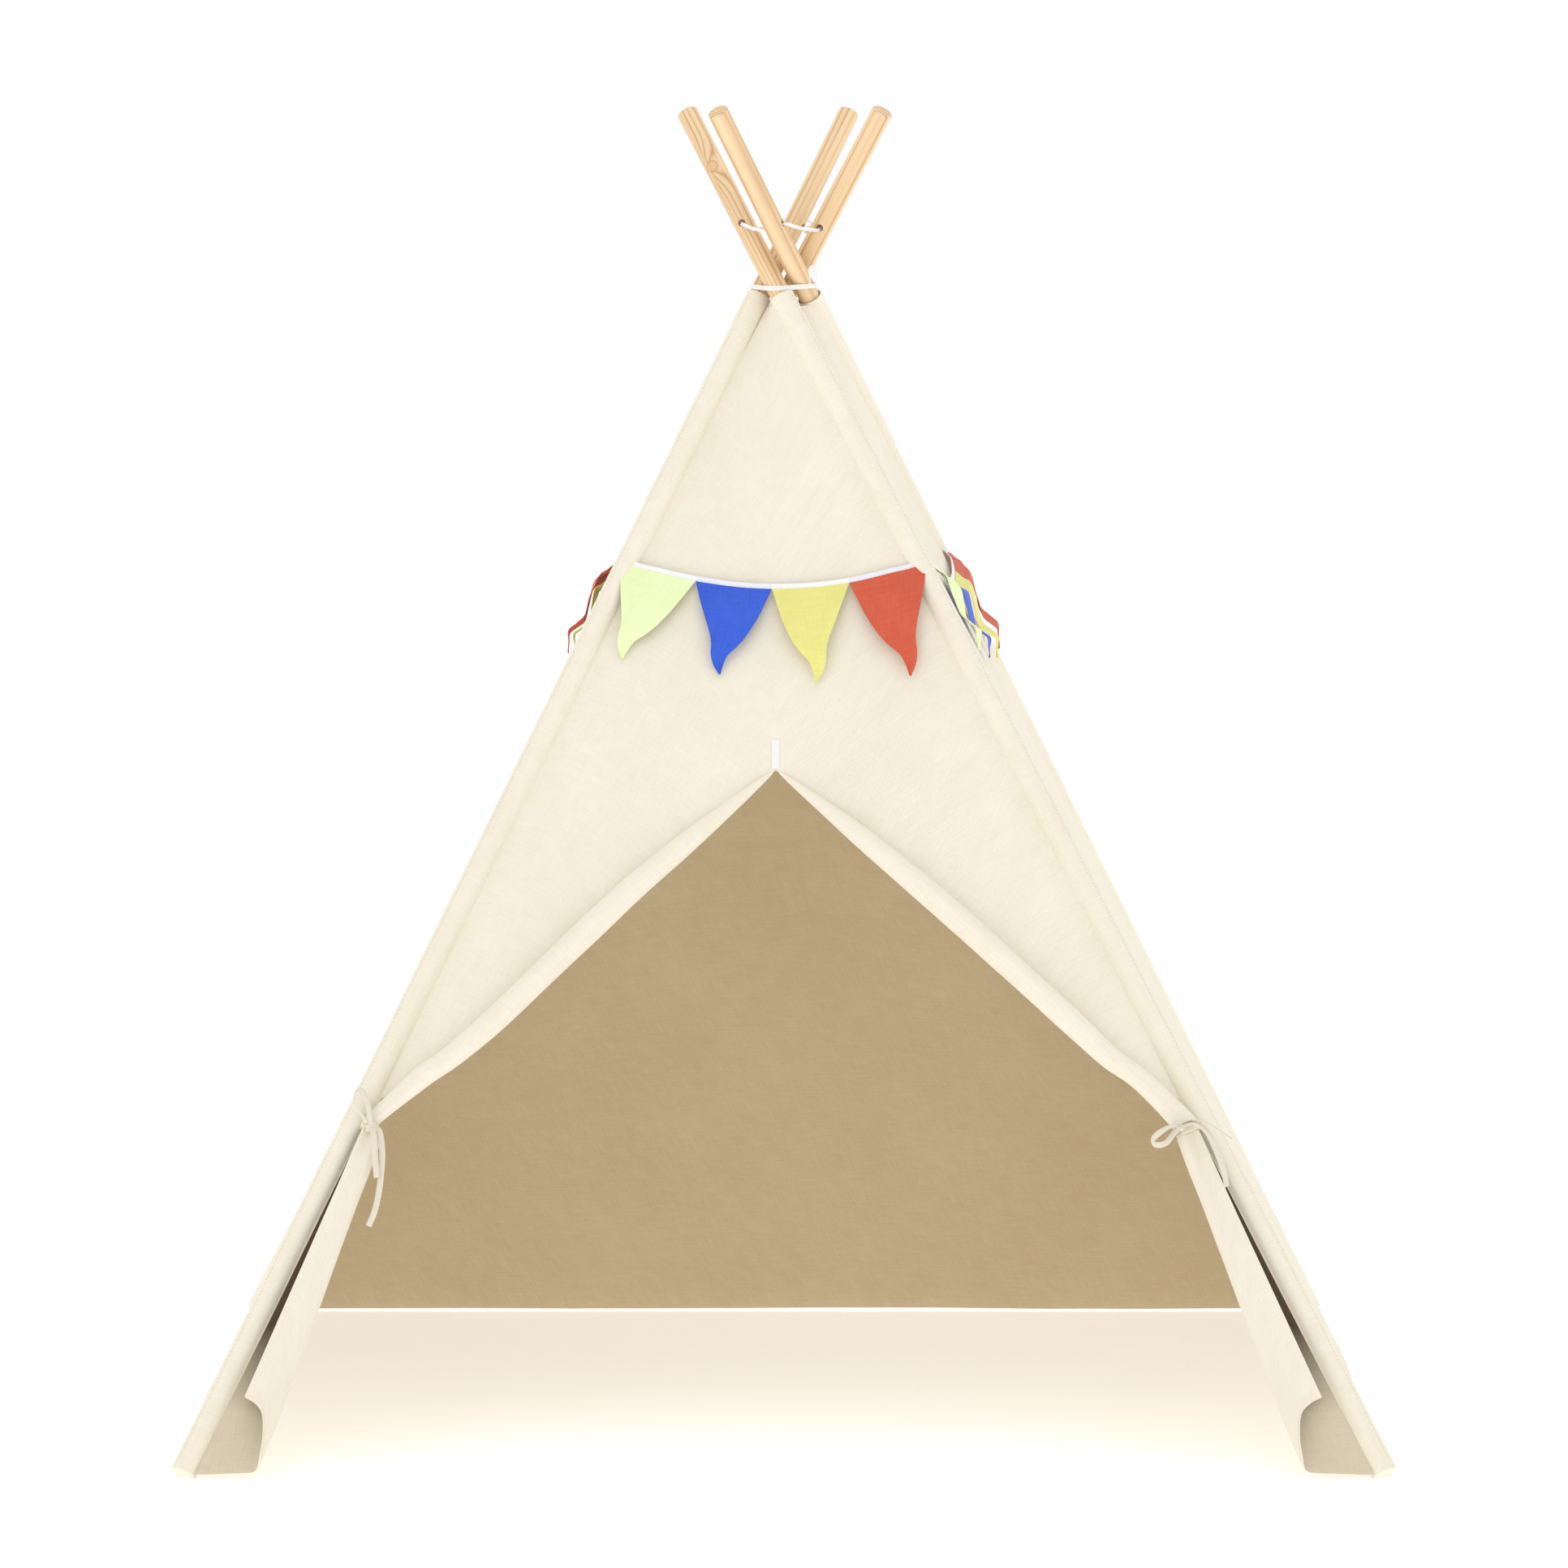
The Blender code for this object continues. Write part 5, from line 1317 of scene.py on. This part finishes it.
def make_band():
    top = CROSSING_HEIGHT - BAND_TOP_BELOW_CROSSING
    puff = BAND_PUFF + BAND_BULGE * np.array(BAND_BULGE_SHARES)
    rows = spread(top - BAND_WIDTH, top, len(puff))
    outer = np.stack([band_ring(height, CLEARANCE + out) for height, out in zip(rows, puff)])
    inner = np.stack([band_ring(height, CLEARANCE) for height in rows])
    ways = unit(outer[..., :2])
    rise = BAND_TILT[0] * ways[..., 0] + BAND_TILT[1] * np.minimum(ways[..., 1], 0.0) + BAND_RISE
    parts = Parts()
    shift = np.stack((rise * 0, rise * 0, rise), -1)
    parts.sheet(outer + shift, inner + shift, wrap=True, slots=(0, 0))
    start = np.array((outer[3, :, 0].max(), 0.0, top))
    ribbon(parts, start + np.array(BAND_LOOP_ROUTE), np.array(BAND_LOOP_WAYS, float), *BAND_LOOP_SIZE, 30)
    placed(parts.made("elastic_pole_band", (WHITE_CORD,)), "cover", "white_cord", "pole_band")


LACE_SIZE = (0.0038, 0.0008)
LACE_CUP = 0.05
LACE_TWIST = 0.5
LACE_UNTWIST = 0.4
LACE_EARLY = 0.2
LACE_EARLY_SAG = 0.55
LACE_LEG_ORDER = (3, 0, 1, 2)
LACE_KNOT_SIZE = (0.0075, 0.0075, 0.0085)
LACE_BOW_SCALE = 0.010


def lace_stop(turns, end):
    reach = (POLE_RADIUS + LACE_STRAIGHT_BEYOND_POLE) * end
    hole = np.array((math.cos(LACE_HOLE_TURN), -math.sin(LACE_HOLE_TURN), 0.0))
    return leg_point(turns, hole * reach + (0.0, 0.0, LACE_HOLE_ABOVE_CROSSING - LACE_REST))


def make_lace():
    """Eight half stretches: each leaves a pole's hole and meets the next halfway to the following pole."""
    for turns in LACE_LEG_ORDER:
        for end in (1, -1):
            start, far = lace_stop(turns, end), lace_stop((turns - end) % 4, -end)
            middle = (start + far) / 2 - (0.0, 0.0, LACE_SAG)
            inside = leg_point(turns, (0.0, 0.0, LACE_HOLE_ABOVE_CROSSING - LACE_REST))
            early = start + (far - start) * LACE_EARLY - (0.0, 0.0, LACE_SAG * LACE_EARLY_SAG)
            route = np.array((inside, start, early, middle))
            tilt = LACE_TWIST * end * (1 if turns % 2 else -1)
            side = unit(np.cross(far - start, (0.0, 0.0, 1.0)))
            tilts = (tilt, tilt, tilt * LACE_UNTWIST, 0.0)
            ways = np.array([side * math.cos(a) + np.array((0, 0, math.sin(a))) for a in tilts])
            if end < 0:
                ways = -ways
            parts = Parts()
            ribbon(parts, route, ways, *LACE_SIZE, 30, LACE_CUP)
            piece = parts.made(f"lace_{LEG_NAMES[turns]}_{'in' if end > 0 else 'out'}", (WHITE_CORD,))
            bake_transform(piece)
            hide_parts("pole_lace")


LACE_BOW_ROUTES = (
    (((0, 0, 0), (-0.4, 0.2, 0.2), (-0.9, 0.3, 0.1), (-1.25, 0.2, -0.3), (-0.8, -0.1, -0.4), (0, 0, 0)),
     ((0.2, -1, 0.5), (0.2, -1, 0.6), (0.1, -0.9, 0.5), (-0.6, -0.6, 0.0), (0.0, -0.9, -0.4), (0, -1, 0))),
    (((0, 0, 0), (0.1, -0.3, 0.45), (0.3, -0.45, 0.75), (0.55, -0.35, 0.45), (0.35, 0.0, -0.1), (0, 0, 0)),
     ((0, -1, 0), (-0.5, -0.8, 0.2), (-0.3, -0.6, 0.7), (0.8, -0.5, 0.2), (0.5, -0.8, -0.2), (0, -1, 0))),
    (((0, 0, 0), (-0.4, -0.2, 0.1), (-0.9, -0.35, -0.1), (-1.5, -0.3, -0.25)),
     ((0, -1, 0.3), (0, -1, 0.5), (0, -1, 0.3), (0, -1, 0.2))),
    (((0, 0, 0), (0.0, 0.3, 0.3), (-0.3, 0.4, 0.75), (-0.7, 0.35, 0.9)),
     ((0, -1, 0), (0.3, -1, 0.2), (0.3, -1, 0.6), (0.1, -1, 0.8))),
)


def make_lace_bow():
    near, far = lace_stop(3, 1), lace_stop(2, -1)
    knot = (far + near) / 2 - (0.0, 0.0, LACE_SAG)
    along = unit(near - far)
    outward = np.array((knot[0], knot[1], 0.0))
    outward = unit(outward - along * (outward @ along))
    axes = np.stack((outward, along, np.cross(outward, along)))
    parts = Parts()
    wrapped_knot(parts, knot, axes[[2, 0, 1]], LACE_KNOT_SIZE)
    for route, ways in LACE_BOW_ROUTES:
        points = knot + np.asarray(route, float) * LACE_BOW_SCALE @ axes
        ribbon(parts, points, np.asarray(ways, float) @ axes, *LACE_SIZE, 36, LACE_CUP)
    placed(parts.made("lace_knot_and_loops", (WHITE_CORD,)), "cover", "white_cord", "lace_bow")


# Bunting: a tape on each side, from corner to corner, with four pennants
def tape_lean(turns, sign):
    normal = cover_axes(0.5, TAPE_END_HEIGHT)[2]
    local = turned(normal, -turns) @ LEG_AXES.T
    return math.atan2(local[1] * sign, -local[0])


def tape_end(turns, sign):
    lean = tape_lean(turns, sign)
    radius = SLEEVE_RADIUS + TAPE_CLEARANCE
    point = on_leg(turns, -radius * math.cos(lean), radius * math.sin(lean) * sign, TAPE_END_HEIGHT)
    return point, radius * lean - CLEARANCE / 2


TAPE_LEFT, TAPE_LEFT_REACH = tape_end(3, -1)
TAPE_RIGHT, TAPE_RIGHT_REACH = tape_end(0, 1)
TAPE_SPAN = float(np.linalg.norm(TAPE_RIGHT - TAPE_LEFT))
TAPE_TOTAL = TAPE_SPAN + TAPE_LEFT_REACH + TAPE_RIGHT_REACH
TAPE_LEAVES = (TAPE_LEFT_REACH / TAPE_TOTAL, 1.0 - TAPE_RIGHT_REACH / TAPE_TOTAL)
TAPE_SLOPE, TAPE_OUT = cover_axes(0.5, TAPE_END_HEIGHT)[1:]
TAPE_SKINS = (0.0010, 0.0001)
TAPE_EDGE = 0.0003
TAPE_STITCH_DIP = 0.00015
TAPE_STITCH_SHARE = 0.86
TAPE_STITCH_WIDTH = 0.0005
TAPE_TINT = (0.80, 0.785, 0.86)
BUNTING_TAPE = ribbed_finish("bunting_tape", (0.92, 0.915, 0.905), (0.85, 0.845, 0.83), tint=TAPE_TINT)


def wrapped(points, turns, sign):
    """Bends points of the front tape's plane round a sleeve where they lie beyond it."""
    local = leg_local(turns, points)
    lean = tape_lean(turns, sign)
    beyond = -(local[..., 0] * math.sin(lean) + local[..., 1] * sign * math.cos(lean))
    radius = local[..., 1] * sign * math.sin(lean) - local[..., 0] * math.cos(lean)
    angle = lean - beyond / np.where(radius > 0.001, radius, 0.001)
    bent = np.stack((-radius * np.cos(angle), radius * np.sin(angle) * sign, local[..., 2]), -1)
    return np.where((beyond > 0.0)[..., None], leg_point(turns, bent), points)


def tape_plane(share, drop):
    run = (share * TAPE_TOTAL - TAPE_LEFT_REACH) / TAPE_SPAN
    hang = TAPE_SAG * 4.0 * share * (1.0 - share) + drop
    return TAPE_LEFT + (TAPE_RIGHT - TAPE_LEFT) * run[..., None] - TAPE_SLOPE * hang[..., None]


def on_cover(points, side, lift=0.0):
    """Moves points of the tape's plane out with the cover, and bends them round the sleeves."""
    height = points[..., 2]
    low, high = cover_point(0.0, height), cover_point(1.0, height)
    share = (points[..., 0] - low[..., 0]) / (high[..., 0] - low[..., 0])
    out = wrinkle(side, np.clip(share, 0.0, 1.0), height) + lift
    return wrapped(wrapped(points + TAPE_OUT * out[..., None], 3, -1), 0, 1)


def make_tapes():
    for side, name in enumerate(SIDE_NAMES):
        for half, hand in enumerate(HANDS):
            leave = TAPE_LEAVES[half]
            for part, low, high, count in (("corner", half * 1.0, leave, 9), ("run", leave, 0.5, 60)):
                shares = spread(min(low, high), max(low, high), count)[None, :]
                drop = spread(TAPE_WIDTH, 0.0, 7)[:, None]
                edge = (np.abs(drop / TAPE_WIDTH * 2 - 1) ** 6) * TAPE_EDGE
                seam = TAPE_STITCH_DIP * bell(drop - TAPE_WIDTH * TAPE_STITCH_SHARE, TAPE_STITCH_WIDTH)
                share, low_drop = np.broadcast_arrays(shares, drop)
                plane = tape_plane(share, low_drop)
                outer = turned(on_cover(plane, side, TAPE_SKINS[0] - edge - seam + 0 * share), side)
                inner = turned(on_cover(plane, side, TAPE_SKINS[1] + 0 * share), side)
                metres = np.stack((low_drop, share * TAPE_TOTAL), -1)
                parts = Parts()
                parts.sheet(outer, inner, metres, slots=(0, 0))
                piece = parts.made(f"bunting_tape_{name}_{hand}_{part}", (BUNTING_TAPE,))
                placed(piece, "leg_" + leg_of(side, half), "white_tape", "bunting_tape_" + name)
                if part == "run":
                    flatten(piece, half, (TAPE_LEFT, TAPE_RIGHT)[half], TAPE_END_HEIGHT)
                sewn_on(side, half, piece)


PENNANT_ROWS = 54
PENNANT_COLUMNS = 26
PENNANT_ABOVE_TAPE_EDGE = 0.0012
PENNANT_TIP_WIDTH = 0.0020
PENNANT_FLUTTER = 0.10
PENNANT_FLUTTER_START = (0.05, 0.35)
PENNANT_TWIST = 0.35
PENNANT_TWIST_START = (0.35, 1.0)
PENNANT_RIM_THINNING = 0.25


def pennant_grid(index, side):
    """A pennant's outer face in the front side's place: rows from the tip to the sewn edge."""
    low, high = index / PENNANTS_PER_SIDE, (index + 1) / PENNANTS_PER_SIDE
    trim = CLEARANCE / 2 / TAPE_TOTAL
    shares = spread(low + trim, high - trim, PENNANT_COLUMNS)
    top = tape_plane(shares, np.full(PENNANT_COLUMNS, TAPE_WIDTH - PENNANT_ABOVE_TAPE_EDGE))
    along = unit(top[-1] - top[0])
    down = np.cross(along, TAPE_OUT)
    middle = (top[0] + top[-1]) / 2 + TAPE_OUT * (PENNANT_THICKNESS + CLEARANCE)
    x, drop = (top - middle) @ along, (top - middle) @ down
    length = PENNANT_LENGTH * PENNANT_LENGTH_SHARES[index] * PENNANT_SIDE_LENGTHS[side]
    steps = spread(0.0, len(PENNANT_ROW_SHARES) - 1.0, PENNANT_ROWS)[:, None]
    row = through(PENNANT_ROW_SHARES, steps)
    wide = np.clip(through(PENNANT_WIDTH_SHARES, steps), 0.0, 1.0)
    wide = wide + (1.0 - wide) * PENNANT_TIP_WIDTH / (x[-1] - x[0])
    sway = through(PENNANT_SWAY_SHARES, steps) * PENNANT_SWAY_SIGNS[index]
    curl = np.clip(through(PENNANT_SIDE_CURLS if side % 2 else PENNANT_CURL_SHARES, steps), 0.0, 1.0)
    seed = 100 + index + PENNANTS_PER_SIDE * side
    flutter = PENNANT_FLUTTER * soft_noise(x[None, :] / 0.02 + 30.0, row * 4.0 + side * 3.0, seed)
    flutter = flutter * smoothstep(*PENNANT_FLUTTER_START, row)
    handed = 1 if side % 2 else -1
    twist = (x / (x[-1] - x[0]))[None, :] * smoothstep(*PENNANT_TWIST_START, row) * PENNANT_TWIST * handed
    lean = PENNANT_LEANS[index] + PENNANT_SIDE_LEANS.get((side, index), 0.0)
    across = sway * PENNANT_SWAY + lean * length * row + x[None, :] * wide
    out = (curl + flutter + twist * curl) * PENNANT_CURL
    fall = drop[None, :] * (1.0 - row) + row * length
    flat = middle + along * across[..., None] + down * fall[..., None]
    points = on_cover(flat, side, out + PENNANT_THICKNESS / 2)
    return points[::-1], x[None, :] * wide[::-1] + 0.2 * index, -fall[::-1]


def split_at(piece, point, way, name):
    """Divides a piece at a plane; the new piece is the part that lies against the way."""
    other = piece.copy()
    other.data = piece.data.copy()
    other.name = other.data.name = name
    bpy.context.scene.collection.objects.link(other)
    for target, keep_outer in ((piece, True), (other, False)):
        shape = bmesh.new()
        shape.from_mesh(target.data)
        geometry = shape.verts[:] + shape.edges[:] + shape.faces[:]
        bmesh.ops.bisect_plane(
            shape, geom=geometry, plane_co=tuple(point), plane_no=tuple(way), dist=1e-7,
            clear_inner=keep_outer, clear_outer=not keep_outer,
        )
        rim = [edge for edge in shape.edges if edge.is_boundary]
        if rim:
            bmesh.ops.holes_fill(shape, edges=rim, sides=0)
        shape.to_mesh(target.data)
        shape.free()
    return other


def make_pennants():
    for side, name in enumerate(SIDE_NAMES):
        for index in range(PENNANTS_PER_SIDE):
            points, across, fall = pennant_grid(index, side)
            points = turned(points, side)
            normals = grid_normals(points, False)
            rim = np.zeros(points.shape[:2])
            rim[:, :2] = rim[:, -2:] = 1.0
            half = (PENNANT_THICKNESS / 2 * (1.0 - PENNANT_RIM_THINNING * rim))[..., None]
            metres = np.stack((across, fall), -1)
            parts = Parts()
            parts.sheet(points + normals * half, points - normals * half, metres, slots=(0, 0))
            piece = parts.made(f"bunting_pennant_{name}_{index + 1}", (PENNANT_FINISHES[index],))
            body = f"flag_{name}_{index + 1}"
            pieces = [piece]
            half_index = index // (PENNANTS_PER_SIDE // 2)
            anchor = (TAPE_LEFT, TAPE_RIGHT)[half_index]
            way = FOLD_PLANS[half_index][0]
            if index in (0, PENNANTS_PER_SIDE - 1):
                corner = split_at(piece, turned(anchor, side), turned(way, side), piece.name + "_corner")
                pieces.append(corner)
            for part in pieces:
                placed(part, body, PENNANT_CLOTHS[index][0], f"pennant_{name}_{index + 1}")
            flatten(piece, half_index, anchor, TAPE_END_HEIGHT)


# Stage
def make_stage():
    camera = bpy.data.cameras.new("camera")
    camera.lens = CAMERA_LENS
    camera.sensor_width = SENSOR_WIDTH
    seen = bpy.data.objects.new("camera", camera)
    seen.location = CAMERA_PLACE
    seen.rotation_euler = (math.radians(CAMERA_TILT), 0.0, 0.0)
    bpy.context.scene.collection.objects.link(seen)
    bpy.context.scene.camera = seen

    world = bpy.data.worlds.new("studio")
    world.use_nodes = True
    dome = world.node_tree.nodes["Background"].inputs
    dome["Color"].default_value = (1.0, 1.0, 1.0, 1.0)
    dome["Strength"].default_value = DOME_STRENGTH
    bpy.context.scene.world = world
    bpy.context.scene.view_settings.view_transform = "Standard"

    sun = bpy.data.lights.new("key", "SUN")
    sun.energy = KEY_STRENGTH
    sun.angle = math.radians(KEY_SOFTNESS)
    key = bpy.data.objects.new("key", sun)
    key.rotation_euler = Vector(KEY_DIRECTION).to_track_quat("-Z", "Y").to_euler()
    bpy.context.scene.collection.objects.link(key)

    half = FLOOR_SIZE / 2
    data = bpy.data.meshes.new("floor")
    corners = [(-half, -half, 0.0), (half, -half, 0.0), (half, half, 0.0), (-half, half, 0.0)]
    data.from_pydata(corners, [], [(0, 1, 2, 3)])
    floor_finish = finish("floor", FLOOR_COLOUR, FLOOR_ROUGHNESS)
    lit = floor_finish.node_tree.nodes["Principled BSDF"].inputs
    lit["Emission Color"].default_value = (1.0, 1.0, 1.0, 1.0)
    lit["Emission Strength"].default_value = FLOOR_GLOW
    data.materials.append(floor_finish)
    floor = bpy.data.objects.new("floor", data)
    bpy.context.scene.collection.objects.link(floor)


make_stage()
dress_poles()
make_sleeves()
make_panels()
make_door_tape()
make_rolls()
make_ties()
make_curtains()
make_band()
make_lace()
make_lace_bow()
make_tapes()
make_pennants()

bpy.context.view_layer.update()
